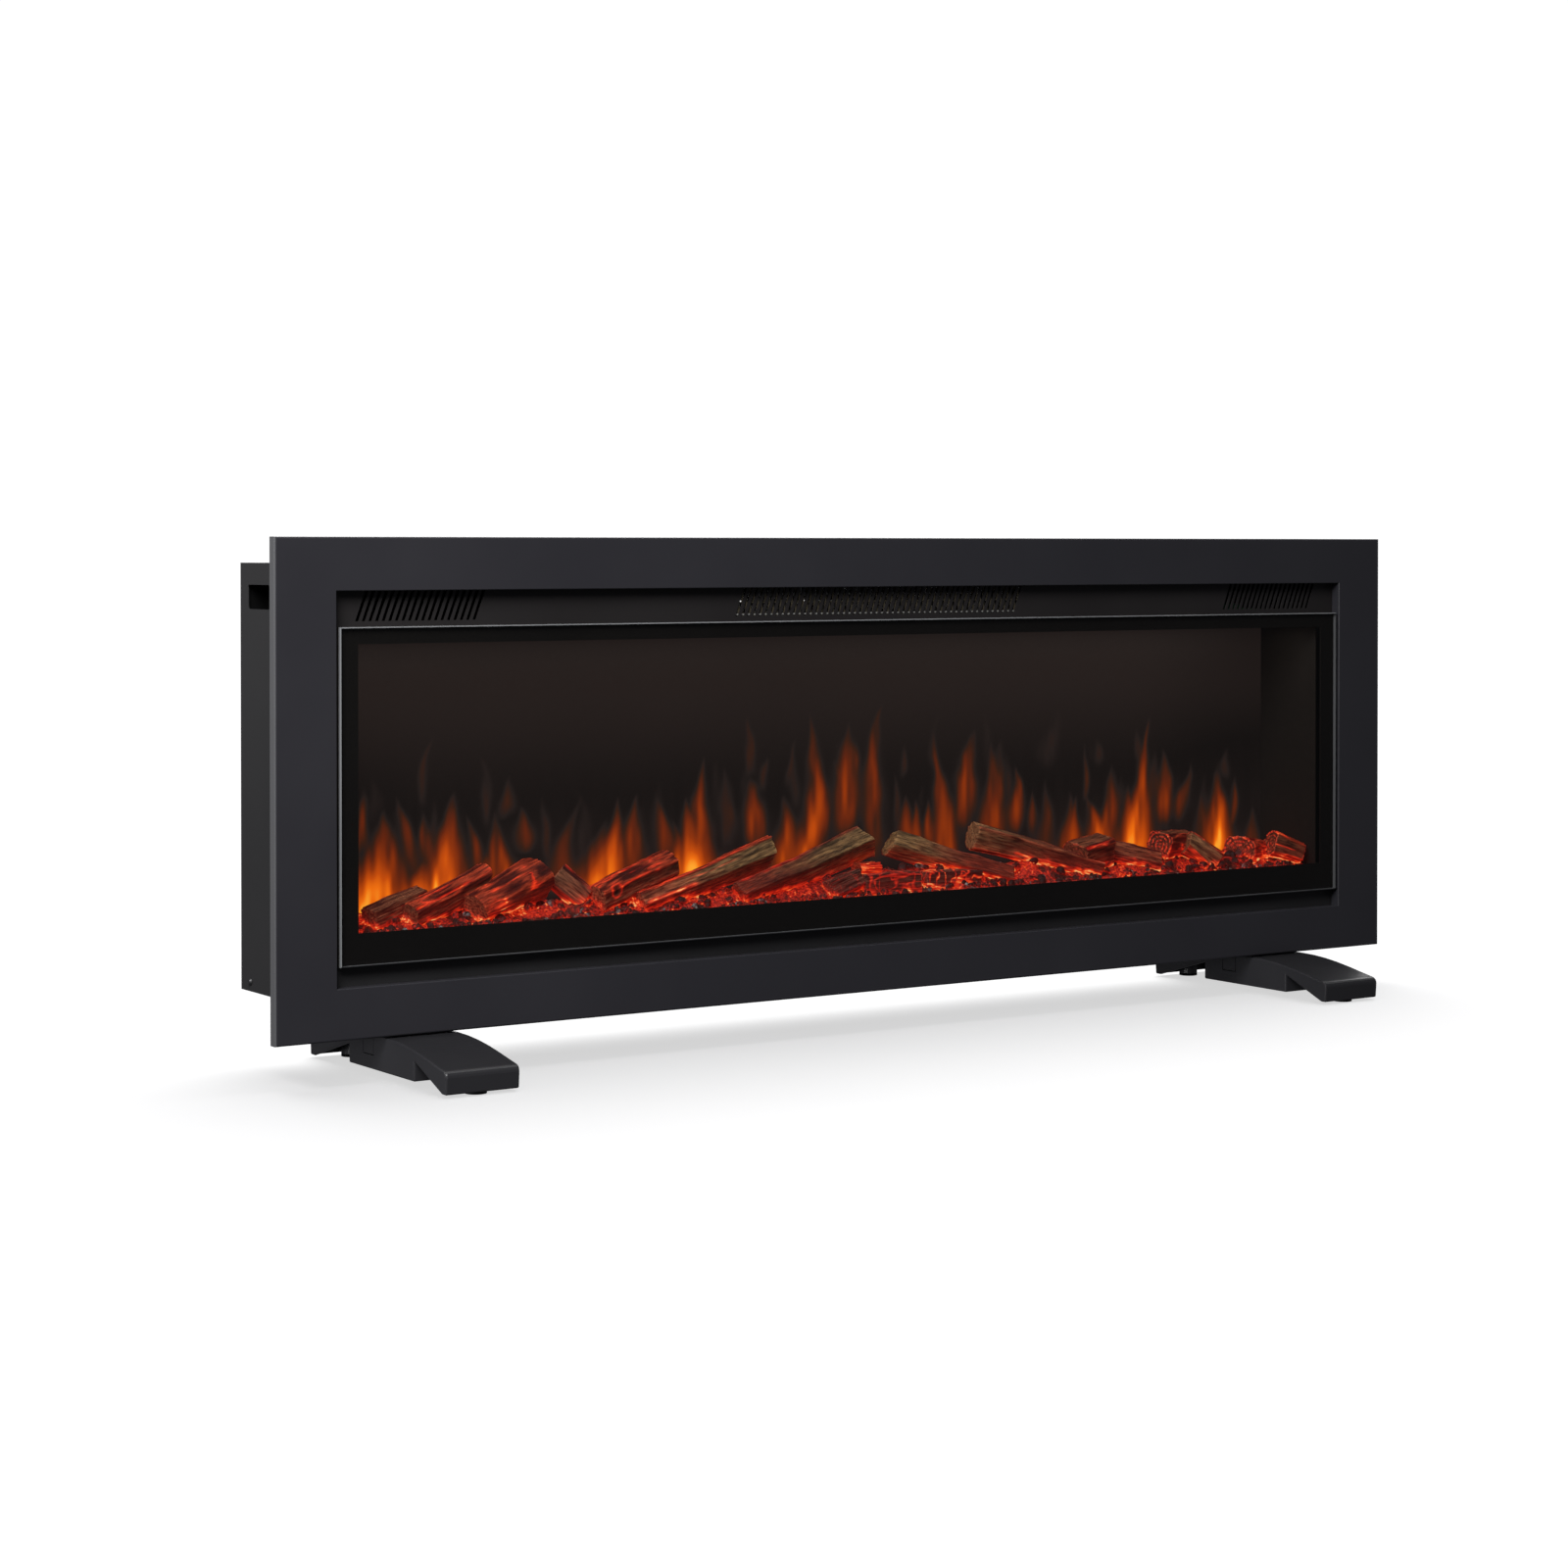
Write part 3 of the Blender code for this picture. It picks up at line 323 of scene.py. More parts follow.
def grid_faces(rows, columns, wrap=False):
    """Quads of a grid of points kept row by row."""
    count = columns if wrap else columns - 1
    row, column = np.meshgrid(np.arange(rows - 1), np.arange(count), indexing="ij")
    after = (column + 1) % columns
    here, above = row * columns, (row + 1) * columns
    corners = (here + column, here + after, above + after, above + column)
    return np.stack([c.ravel() for c in corners], 1)


def closed_sheet_faces(rows, columns):
    """Faces of a grid of points, and of the sides and back of the block it fronts.

    The back's four corners follow the grid's points: those behind the first row's start and end,
    then those behind the last row's end and start.
    """
    back = rows * columns
    first = range(columns)
    last = range(back - columns, back)
    left = range(0, back, columns)
    right = range(columns - 1, back, columns)
    return [tuple(face) for face in grid_faces(rows, columns)] + [
        (*reversed(first), back, back + 1),
        (*reversed(right), back + 1, back + 2),
        (*last, back + 2, back + 3),
        (*left, back + 3, back),
        (back, back + 3, back + 2, back + 1),
    ]


# The share of light that each face of the smoked front glass holds back, and how much brighter
# the flame picture and the embers behind it have to be for that.
GLASS_TINT = 0.34
PICTURE_STRENGTH = 2.3
EMBER_STRENGTH = 0.79 * PICTURE_STRENGTH

# ---------------------------------------------------------------- flame picture

FLAME_STOPS = [
    (0.00, linear(13, 10, 9)),
    (0.06, linear(32, 25, 23)),
    (0.14, linear(52, 26, 14)),
    (0.30, linear(95, 33, 8)),
    (0.50, linear(142, 50, 4)),
    (0.70, linear(196, 76, 5)),
    (0.86, linear(240, 112, 12)),
    (1.00, linear(255, 168, 46)),
]

# Each flame: foot (x, z), tip (x, z), half width, sideways bow, brightness, and how much of the
# foot stays lit (1 is rooted in the logs, 0 hangs clear of them).
FLAMES = [
    (-0.504, 0.092, -0.487, 0.188, 0.030, 0.006, 1.00, 1.0),
    (-0.512, 0.150, -0.510, 0.202, 0.007, 0.002, 0.30, 0.1),
    (-0.459, 0.130, -0.480, 0.200, 0.007, 0.003, 0.34, 0.0),
    (-0.446, 0.138, -0.449, 0.186, 0.005, 0.001, 0.32, 0.0),
    (-0.431, 0.104, -0.421, 0.202, 0.019, 0.003, 0.95, 1.0),
    (-0.453, 0.112, -0.447, 0.142, 0.012, 0.000, 0.55, 1.0),
    (-0.394, 0.126, -0.409, 0.182, 0.006, 0.002, 0.30, 0.1),
    (-0.388, 0.122, -0.386, 0.145, 0.005, 0.001, 0.38, 0.6),
    (-0.364, 0.116, -0.376, 0.182, 0.012, -0.006, 0.62, 0.9),
    (-0.347, 0.140, -0.351, 0.186, 0.009, 0.001, 0.38, 0.0),
    (-0.370, 0.172, -0.363, 0.214, 0.006, 0.001, 0.14, 0.0),
    (-0.306, 0.112, -0.286, 0.194, 0.011, -0.007, 0.28, 0.8),
    (-0.262, 0.110, -0.246, 0.190, 0.013, 0.004, 0.95, 1.0),
    (-0.277, 0.108, -0.262, 0.170, 0.018, 0.004, 0.40, 0.9),
    (-0.243, 0.118, -0.243, 0.152, 0.0045, 0.000, 0.40, 0.7),
    (-0.228, 0.120, -0.224, 0.192, 0.013, -0.002, 0.46, 0.4),
    (-0.196, 0.124, -0.201, 0.188, 0.008, 0.002, 0.34, 0.3),
    (-0.182, 0.116, -0.186, 0.164, 0.0045, 0.001, 0.52, 0.7),
    (-0.166, 0.108, -0.175, 0.186, 0.014, 0.000, 0.86, 1.0),
    (-0.152, 0.108, -0.150, 0.152, 0.018, 0.002, 0.52, 1.0),
    (-0.156, 0.126, -0.151, 0.226, 0.012, -0.003, 0.46, 0.3),
    (-0.125, 0.136, -0.124, 0.214, 0.009, 0.000, 0.18, 0.1),
    (-0.094, 0.132, -0.097, 0.202, 0.012, 0.001, 0.50, 0.1),
    (-0.098, 0.200, -0.103, 0.262, 0.004, 0.001, 0.15, 0.0),
    (-0.060, 0.114, -0.059, 0.184, 0.016, 0.002, 0.66, 0.8),
    (-0.036, 0.118, -0.030, 0.262, 0.013, 0.012, 0.70, 0.7),
    (0.011, 0.140, 0.013, 0.252, 0.013, 0.001, 0.52, 0.1),
    (0.050, 0.126, 0.054, 0.268, 0.012, -0.012, 0.40, 0.3),
    (0.086, 0.122, 0.082, 0.178, 0.010, -0.001, 0.42, 0.5),
    (0.097, 0.126, 0.094, 0.172, 0.006, 0.001, 0.58, 0.5),
    (0.112, 0.126, 0.111, 0.172, 0.006, 0.000, 0.48, 0.2),
    (0.131, 0.112, 0.122, 0.240, 0.011, 0.001, 0.66, 0.9),
    (0.156, 0.140, 0.168, 0.240, 0.012, -0.002, 0.46, 0.1),
    (0.190, 0.128, 0.192, 0.228, 0.013, 0.002, 0.48, 0.8),
    (0.220, 0.132, 0.220, 0.202, 0.009, 0.001, 0.54, 0.1),
    (0.240, 0.134, 0.240, 0.174, 0.005, 0.000, 0.30, 0.2),
    (0.259, 0.118, 0.260, 0.188, 0.009, 0.000, 0.24, 0.5),
    (0.288, 0.112, 0.291, 0.172, 0.011, 0.002, 0.36, 0.8),
    (0.297, 0.118, 0.298, 0.168, 0.006, 0.000, 0.48, 0.6),
    (0.328, 0.112, 0.311, 0.166, 0.012, 0.003, 0.78, 1.0),
    (0.336, 0.118, 0.345, 0.198, 0.010, 0.003, 0.52, 0.8),
    (0.310, 0.160, 0.311, 0.222, 0.004, 0.000, 0.18, 0.0),
    (0.381, 0.094, 0.396, 0.246, 0.015, -0.001, 0.95, 1.0),
    (0.373, 0.110, 0.366, 0.176, 0.012, -0.002, 0.60, 1.0),
    (0.417, 0.132, 0.413, 0.212, 0.011, 0.002, 0.42, 0.1),
    (0.437, 0.134, 0.454, 0.196, 0.008, -0.001, 0.28, 0.1),
    (0.469, 0.116, 0.470, 0.166, 0.008, 0.000, 0.26, 0.7),
    (0.493, 0.100, 0.492, 0.188, 0.015, 0.000, 0.95, 1.0),
    (0.512, 0.126, 0.517, 0.172, 0.004, 0.001, 0.40, 0.1),
    (0.540, 0.106, 0.540, 0.146, 0.008, 0.000, 0.24, 0.8),
]


FAINT_FLAMES = 52


def faint_flames():
    """Dim, thin flames that fill the gaps between the chosen ones."""
    random = np.random.default_rng(3)
    flames = []
    for _ in range(FAINT_FLAMES):
        x = random.uniform(-0.53, 0.54)
        foot = random.uniform(0.115, 0.200)
        tall = random.uniform(0.025, 0.070)
        lean = random.uniform(-0.008, 0.008)
        half = random.uniform(0.0035, 0.0085)
        bow = random.uniform(-0.004, 0.004)
        bright = random.uniform(0.03, 0.12)
        flames.append((x, foot, x + lean, foot + tall, half, bow, bright, 0.1))
    return flames


def flame_heat(x, z):
    """How brightly the flame picture glows at each point of the screen, from 0 to 1."""
    points = np.stack([x, np.zeros_like(x), z], -1)
    lift = ease(z, 0.105, 0.19)
    glimmer_height = 0.112
    waver = 0.0050 * noise(points, (0.028, 1, 0.036), 11)
    flicker = 0.0020 * noise(points, (0.009, 1, 0.018), 12)
    x = x + (waver + flicker) * lift
    streak = 1 + 0.42 * noise(points, (0.0052, 1, 0.030), 14)
    dark = np.ones_like(x)
    for foot_x, foot_z, tip_x, tip_z, half, bow, bright, rooted in FLAMES + faint_flames():
        rise = np.clip((z - foot_z) / (tip_z - foot_z), -0.3, 1.0)
        up = np.clip(rise, 0, 1)
        middle = foot_x + (tip_x - foot_x) * up**1.3 + bow * np.sin(np.pi * up)
        swell = np.sin(np.pi * np.clip(0.12 + 0.88 * up, 0, 1) ** 0.75)
        flare = (1 - up) ** 0.7 * (1.0 + 0.35 * np.cos(np.pi * up))
        width = half * (1.34 * rooted * flare + (1 - rooted) * swell * 1.15) + 0.0006
        across = np.clip(np.abs(x - middle) / width, 0, 2.4)
        core = np.exp(-((across / 0.72) ** 2.4))
        halo = 0.07 * np.exp(-((across / 1.20) ** 2))
        fall = rooted * (1 - up) + (1 - rooted) * np.sin(np.pi * up**0.8) * 0.80
        below = np.exp(-((np.clip(-rise, 0, 1) / 0.08) ** 2))
        light = 0.92 * bright * (core + halo) * fall * below * streak
        dark *= 1 - np.clip(light, 0, 0.985) * (rise < 1.0)
    smoke = ease(z, 0.17, 0.29) - 0.35 * ease(x, 0.35, 0.53) - 0.25 * ease(z, 0.31, 0.34)
    low_glimmer = 0.6 * np.exp(-(((z - glimmer_height) / 0.016) ** 2))
    glimmer = low_glimmer * (0.8 + 0.6 * noise(points, (0.05, 1, 0.05), 13))
    haze = 0.06 * np.clip(smoke + glimmer, 0, 1.2)
    return np.clip(1 - dark * (1 - np.clip(haze, 0, 1)), 0, 1)


def make_screen():
    """The smoked screen, with the flame picture held as a value at each of its points."""
    low, high = own_box("flame_screen")
    flame_top, cell = 0.275, 0.0017
    x = np.linspace(low[0], high[0], int((high[0] - low[0]) / cell))
    z = np.concatenate([np.arange(low[2], flame_top, cell), np.linspace(flame_top, high[2], 8)])
    grid_z, grid_x = np.meshgrid(z, x, indexing="ij")
    front = np.stack([grid_x, np.full_like(grid_x, low[1]), grid_z], -1).reshape(-1, 3)
    corners = [(x, high[1], z) for x, z in outline(low, high)]
    faces = closed_sheet_faces(*grid_x.shape)
    material, tree, shader = new_material("flame_picture")
    vector = coordinates(tree)
    smoke = noise_node(tree, vector, 0.09, 2.0)
    tree.links.new(mix_node(tree, smoke, linear(24, 19, 17), linear(20, 16, 14)), shader.inputs["Base Color"])
    value = tree.nodes.new("ShaderNodeAttribute")
    value.attribute_name = "picture"
    tree.links.new(ramp_node(tree, value.outputs["Fac"], FLAME_STOPS), shader.inputs["Emission Color"])
    shader.inputs["Emission Strength"].default_value = PICTURE_STRENGTH
    shader.inputs["Roughness"].default_value = 0.5
    shader.inputs["Specular IOR Level"].default_value = 0.2
    bump_node(tree, shader, noise_node(tree, vector, 0.0012, 1.0), 0.00002)
    points = np.vstack([front, corners])
    thing = piece(
        "flame_screen_picture", points, faces, [material], ["flame_screen"], smooth=False
    )
    heat = flame_heat(grid_x.ravel(), grid_z.ravel())
    add_values(thing, "picture", np.concatenate([heat, np.zeros(4)]))


make_screen()

# ---------------------------------------------------------------- logs

KHAKI = (0.330, 0.185, 0.080)
KHAKI_BROWN = (0.370, 0.175, 0.080)
GREY_WOOD = (0.290, 0.105, 0.052)
DARK_WOOD = (0.120, 0.055, 0.038)
BROWN_WOOD = (0.360, 0.105, 0.050)
RED_BARK = (0.420, 0.052, 0.018)
MAROON = (0.230, 0.044, 0.022)
CHAR = (0.022, 0.016, 0.015)

GLOW_STOPS = [
    (0.00, (0.0, 0.0, 0.0)),
    (0.25, linear(70, 6, 3)),
    (0.50, linear(165, 20, 8)),
    (0.72, linear(226, 46, 14)),
    (0.88, linear(252, 100, 38)),
    (1.00, linear(255, 182, 108)),
]

GRAIN_STOPS = [(0.32, (0.28, 0.26, 0.25)), (0.50, (1.0, 1.0, 1.0)), (0.70, (1.8, 1.8, 1.7))]


def glowing_material(name, grain, stretch, rough, bump, speckle):
    """Moulded resin coloured and lit by its vertex values, with a fine grain of its own."""
    material, tree, shader = new_material(name)
    tint = tree.nodes.new("ShaderNodeAttribute")
    tint.attribute_name = "tint"
    glow = tree.nodes.new("ShaderNodeAttribute")
    glow.attribute_name = "glow"
    vector = coordinates(tree, stretch, "grain")
    fine = noise_node(tree, vector, grain, 4.0)
    shade = ramp_node(tree, fine, GRAIN_STOPS)
    tree.links.new(mix_node(tree, 1.0, tint.outputs["Color"], shade, "MULTIPLY"), shader.inputs["Base Color"])
    flicker = tree.nodes.new("ShaderNodeMath")
    flicker.operation = "MULTIPLY"
    tree.links.new(glow.outputs["Fac"], flicker.inputs[0])
    tree.links.new(map_node(tree, fine, 1 - speckle, 1 + speckle * 0.6), flicker.inputs[1])
    tree.links.new(ramp_node(tree, flicker.outputs[0], GLOW_STOPS), shader.inputs["Emission Color"])
    shader.inputs["Emission Strength"].default_value = EMBER_STRENGTH
    tree.links.new(map_node(tree, fine, rough[0], rough[1]), shader.inputs["Roughness"])
    shader.inputs["Specular IOR Level"].default_value = 0.3
    bump_node(tree, shader, fine, bump)
    material.cycles.emission_sampling = "NONE"
    return material


LOG_FINISH = glowing_material("log_resin", 0.0018, (0.14, 1.0, 1.0), (0.50, 0.75), 0.0008, 0.45)
EMBER_FINISH = glowing_material("ember_resin", 0.0022, (1.0, 1.0, 1.0), (0.45, 0.75), 0.0006, 0.55)

BED_LEVEL = 0.0868

# Each mound of the bed: x, y, width and height.
BED_MOUNDS = [
    (-0.312, 0.040, 0.020, 0.006),
    (0.205, 0.032, 0.034, 0.006),
    (0.105, 0.032, 0.040, 0.006),
    (0.345, 0.036, 0.030, 0.005),
    (0.430, 0.034, 0.045, 0.006),
    (0.500, 0.034, 0.030, 0.004),
    (-0.060, 0.052, 0.060, 0.008),
    (0.040, 0.054, 0.060, 0.012),
    (0.130, 0.050, 0.050, 0.013),
    (0.210, 0.050, 0.040, 0.008),
]


def bed_height(x, y):
    """The height of the ember bed, and how hot it glows, at each point."""
    points = np.stack([x, y, np.zeros_like(x)], -1)
    lump = rough_noise(points, 0.011, 31, 3)
    fine = rough_noise(points, 0.0034, 35, 2)
    slope = 0.0090 * ease(y, 0.019, 0.046)
    mound = sum(
        tall * np.exp(-(((x - middle) / wide) ** 2) - (((y - deep) / 0.016) ** 2))
        for middle, deep, wide, tall in BED_MOUNDS
    )
    height = BED_LEVEL + slope + mound + 0.0026 * lump + 0.0009 * fine
    vein = 1 - np.abs(rough_noise(points, 0.0075, 41, 2)) / 0.16
    patch = ease(noise(points, (0.045, 0.02, 1), 45), -0.5, 0.5)
    glow = 0.36 + 0.24 * patch + 0.42 * np.clip(vein, 0, 1) - 0.18 * ease(lump, 0.1, 0.9)
    glow = glow - 0.30 * ease(noise(points, (0.014, 0.009, 1), 47), 0.25, 0.5)
    return height, np.clip(glow, 0, 1)


def log_shape(start, end, radii, planes, rings, cuts, step, twist, seed):
    """The surface of a log, row by row from the middle of its first end to that of its last.

    t is the place along the log from 0 to 1, and a is the angle round it. share is the distance
    from the middle of a cut end as a share of the radius, and is 1 on the sides.
    """
    start, end = np.array(start, float), np.array(end, float)
    axis = end - start
    length = np.linalg.norm(axis)
    axis /= length
    front = np.cross(axis, (0, 0, 1.0))
    front /= np.linalg.norm(front)
    upward = np.cross(front, axis)
    station_gap, around, caps = 0.0009, 128, 10
    stations = max(14, int(length / station_gap))
    angle = np.linspace(0, 2 * np.pi, around, endpoint=False)
    along = np.concatenate([np.zeros(caps), np.linspace(0, 1, stations), np.ones(caps)])
    inset = np.concatenate([np.arange(caps) / caps, np.ones(stations), np.arange(caps)[::-1] / caps])
    t, a = np.meshgrid(along, angle, indexing="ij")
    share = np.repeat(inset[:, None], around, 1)
    side = share >= 0.999

    trunk = radii[0] + (radii[1] - radii[0]) * t
    key = np.stack([t * length, np.cos(a) * trunk, np.sin(a) * trunk], -1)
    trunk = trunk * (1 + 0.07 * noise(key, (0.030, 0.011, 0.011), seed + 1))
    reach = trunk.copy()
    turned = a + twist * (t - 0.5)
    for direction, distance in planes:
        facing = np.cos(turned - math.radians(direction))
        wander = 1 + 0.05 * noise(key, (0.022, 0.05, 0.05), seed + 7)
        limit = distance * trunk * wander / np.maximum(facing, 0.05)
        reach = np.where(facing > 0.05, np.minimum(reach, limit), reach)
    on_bark = ease(reach / trunk, 0.93, 0.995)
    smooth_reach = (np.roll(reach, 1, 1) + 2 * reach + np.roll(reach, -1, 1)) / 4

    usual_radius = 0.011
    wrap = np.stack([t * length, np.cos(a) * usual_radius, np.sin(a) * usual_radius], -1)
    ridges = 1 - np.abs(rough_noise(wrap, (0.040, 0.0036, 0.0036), seed + 3, 2)) * 1.6
    fibres = rough_noise(wrap, (0.030, 0.0018, 0.0018), seed + 5, 2)
    bark_relief, wood_relief = 0.0015, 0.0006
    relief = on_bark * bark_relief * ridges + (1 - on_bark) * wood_relief * fibres
    radius = smooth_reach * share + np.where(side, relief, relief * share)
    section = np.stack([np.cos(a) * radius, np.sin(a) * radius], -1)

    slant = (1 - ease(t, 0.0, 0.3)) * cuts[0] + ease(t, 0.7, 1.0) * cuts[1]
    shift = slant * section[..., 1]
    torn = rough_noise(np.stack([*np.moveaxis(section, -1, 0), t], -1), (0.0028, 0.0028, 1.0), seed + 9, 2)
    ring_gap = 0.0040
    circle = np.sin(radius * 2 * np.pi / ring_gap + 1.2 * noise(wrap, 0.010, seed + 11))
    push = 0.0007 * torn + rings * 0.0004 * circle
    push += step * (section[..., 0] * math.cos(0.6) + section[..., 1] * math.sin(0.6) > 0)
    outward = np.where(t < 0.5, -1.0, 1.0)
    near_end = np.maximum(1 - ease(t, 0.0, 0.03), ease(t, 0.97, 1.0))
    shift = shift + outward * push * np.where(side, near_end * 0.6, 1.0)
    if rings:
        shift = shift - outward * np.where(side, 0.0, (1 - share) ** 2 * 0.0010)
    bend = 0.0012 * noise(np.stack([t * length, t * 0, t * 0], -1), 0.04, seed + 13)
    points = (
        start
        + axis * (t * length + shift)[..., None]
        + front * section[..., :1]
        + upward * (section[..., 1:] + bend[..., None])
    )
    return SimpleNamespace(
        points=points, t=t, a=a, share=share, length=length, trunk=trunk, radius=radius, wrap=wrap,
        front=front, upward=upward, on_bark=on_bark, ridges=ridges, circle=circle, torn=torn,
        is_cap=(~side).astype(float), near_end=near_end,
    )


def log_tint(log, bark, wood, far_wood, rings, seed):
    """The colour of each point of a log: bark with painted shade in its grooves and painted highlight on its
    ridges, split wood with fibres and cracks, and cut ends.
    """
    # Painted shade and highlight: the bark darkens in the grooves of its relief and lightens on its ridges.
    bark_colour = blend(np.array(bark) * 0.12, np.array(bark) * 1.55, ease(log.ridges, 0.1, 0.9))
    streak = rough_noise(log.wrap, (0.045, 0.0034, 0.0034), seed + 15, 3)
    crack = np.exp(-((noise(log.wrap, (0.060, 0.0052, 0.0052), seed + 17) / 0.12) ** 2))
    crack = 0.60 * crack * ease(noise(log.wrap, 0.03, seed + 19), -0.3, 0.5)
    wood = blend(wood, wood if far_wood is None else far_wood, ease(log.t + 0.10 * streak, 0.15, 0.75))
    wood_colour = wood * (0.55 + 0.75 * np.clip(0.5 + 0.75 * streak, 0, 1))[..., None]
    wood_colour = wood_colour * (1 - crack)[..., None]
    cut = 0.55 + 0.75 * np.clip(0.5 + 0.45 * log.circle * rings + 0.35 * log.torn, 0, 1)
    cut_colour = wood * (1 - 0.45 * rings) * cut[..., None]
    tint = bark_colour * log.on_bark[..., None] + wood_colour * (1 - log.on_bark)[..., None]
    tint = tint * (1 - log.is_cap[..., None]) + cut_colour * log.is_cap[..., None]
    rim = log.near_end * (1 - log.is_cap)
    return tint * (1 + 0.45 * rim)[..., None]


def log_glow(log, ember, stripes, bark_glow_and_painted_ember_light, cracks, rings, seed):
    """How brightly each point of a log glows: painted ember light by the bed and on its bark, painted
    highlights on the bark's ridges, and heat in its cracks, rings and stripes.
    """
    bed = bed_height(log.points[..., 0], log.points[..., 1])[0]
    over = log.points[..., 2] - bed + 0.0030 * noise(log.points, 0.007, seed + 21)
    # Painted ember light: the log glows red where it lies on the bed, fading within about three centimetres
    # above it.
    foot = ember * (1 - ease(over, 0.0, 0.0075)) * (0.8 + 0.3 * log.ridges)
    glow = foot + 0.34 * (1 - ease(over, 0.0, 0.032))
    # The bark's glow: on the logs, painted ember light, with painted highlights along the tops of its ridges.
    painted_crest_highlight = ease(log.ridges, 0.78, 1.0) * ease(noise(log.wrap, (0.030, 0.010, 0.010), seed + 25), -0.4, 0.5)
    glow = glow + bark_glow_and_painted_ember_light * log.on_bark * (1 - log.is_cap) * (0.28 + 1.45 * painted_crest_highlight)
    if cracks:
        across = np.abs(noise(log.wrap, (0.006, 0.012, 0.012), seed + 27))
        lengthwise = np.abs(noise(log.wrap, (0.020, 0.005, 0.005), seed + 28))
        grid = np.minimum(across, lengthwise)
        glow = np.maximum(glow, cracks * np.exp(-((grid / 0.13) ** 2)))
    for direction, width, first, last, heat in stripes:
        away = np.degrees(np.abs(np.angle(np.exp(1j * (log.a - math.radians(direction))))))
        line = np.exp(-((away / width) ** 2))
        fade = last - 0.25 * (last - first)
        span = ease(log.t, first - 0.04, first + 0.04) * (1 - ease(log.t, fade, last))
        uneven = 0.85 + 0.25 * noise(log.wrap, 0.006, seed + 23)
        glow = np.maximum(glow, heat * line * span * uneven * (1 - log.is_cap))
    if rings:
        hot_circles = log.is_cap * 0.74 * ease(log.circle, 0.40, 0.95)
        hot_rim = 0.74 * np.exp(-(((log.share - 0.97) / 0.05) ** 2)) * (log.near_end > 0.5)
        glow = np.maximum(glow, rings * (hot_circles + hot_rim))
    return glow


def add_knot(log, tint, glow, knot):
    """Sinks a dark knot with a hot rim into a log, and gives back its points, tint and glow."""
    place, direction, size = knot
    beside = np.radians((np.degrees(log.a) - direction + 180) % 360 - 180) * log.trunk
    gap = np.hypot((log.t - place) * log.length, beside) / size
    tint = tint * (1 - 0.8 * np.exp(-((gap / 0.55) ** 2)))[..., None]
    glow = glow * (1 - np.exp(-((gap / 0.6) ** 2))) + 0.45 * np.exp(-(((gap - 1.0) / 0.25) ** 2))
    outward = log.front * np.cos(log.a)[..., None] + log.upward * np.sin(log.a)[..., None]
    hollow = 0.0022 * np.exp(-((gap / 0.6) ** 2))
    return log.points - outward * hollow[..., None], tint, glow


def billet(
    name, start, end, radii, planes, bark, wood, *, ember, seed, far_wood=None, stripes=(), bark_glow_and_painted_ember_light=0.0,
    cracks=0.0, rings=0.0, knot=None, cuts=(0.0, 0.0), step=0.0, twist=0.0,
):
    """A log from start to end: a round trunk cut back by flat split planes.

    planes are (direction in degrees, distance as a share of the radius); 0 degrees faces the
    front and 90 degrees faces up. stripes are (direction, width in degrees, from, to, heat), and
    a knot is (place along the log, direction, size). ember sets the painted ember light on the
    log's foot, and bark_glow_and_painted_ember_light the glow of its bark, which on the logs is painted ember
    light with painted highlights along the tops of its ridges; cracks and rings say how hot its cracks and
    the rings of its cut ends are. cuts slants the two ends, step pushes half of each out, and
    twist turns the planes along the log. It replaces the CAD log whose name its own name starts
    with, if there is one.
    """
    log = log_shape(start, end, radii, planes, rings, cuts, step, twist, seed)
    tint = log_tint(log, bark, wood, far_wood, rings, seed)
    glow = log_glow(log, ember, stripes, bark_glow_and_painted_ember_light, cracks, rings, seed)
    points = log.points
    if knot:
        points, tint, glow = add_knot(log, tint, glow, knot)
    faces = grid_faces(*log.t.shape, wrap=True)
    cad_log = name.removesuffix("_wood")
    replaces = [cad_log] if cad_log in NODES else []
    thing = piece(name, points.reshape(-1, 3), faces, [LOG_FINISH], replaces)
    add_values(thing, "tint", tint.reshape(-1, 3))
    add_values(thing, "glow", np.clip(glow, 0, 1).ravel())
    grain = [log.t * log.length, np.cos(log.a) * log.radius, np.sin(log.a) * log.radius]
    add_values(thing, "grain", (np.stack(grain, -1) + seed * 0.37).reshape(-1, 3))


billet(
    "log_01_wood", (-0.530, 0.034, 0.0985), (-0.468, 0.058, 0.1120), (0.0105, 0.0100),
    [(-5, 0.66), (75, 0.78)], MAROON, GREY_WOOD,
    ember=0.60, seed=101,
)
billet(
    "log_02_wood", (-0.492, 0.032, 0.0960), (-0.408, 0.058, 0.1230), (0.0125, 0.0135),
    [(-25, 0.66)], RED_BARK, GREY_WOOD,
    stripes=[(42, 7, 0.0, 0.9, 0.80), (80, 6, 0.1, 0.9, 0.62)], ember=0.65, bark_glow_and_painted_ember_light=0.38,
    cuts=(0.0, 0.4), seed=202,
)
billet(
    "log_03_wood", (-0.428, 0.036, 0.0955), (-0.350, 0.060, 0.1200), (0.0170, 0.0215),
    [(-48, 0.70), (160, 0.80)], RED_BARK, BROWN_WOOD,
    stripes=[(112, 5, 0.2, 0.95, 0.68), (8, 12, 0.0, 0.35, 0.70)], ember=0.75, bark_glow_and_painted_ember_light=0.48,
    seed=303,
)
billet(
    "log_04_wood", (-0.331, 0.060, 0.1230), (-0.309, 0.046, 0.1005), (0.0120, 0.0125),
    [(15, 0.76)], MAROON, GREY_WOOD,
    stripes=[(96, 10, 0.0, 0.4, 0.60)], ember=0.6, bark_glow_and_painted_ember_light=0.3, rings=0.4, seed=404,
)
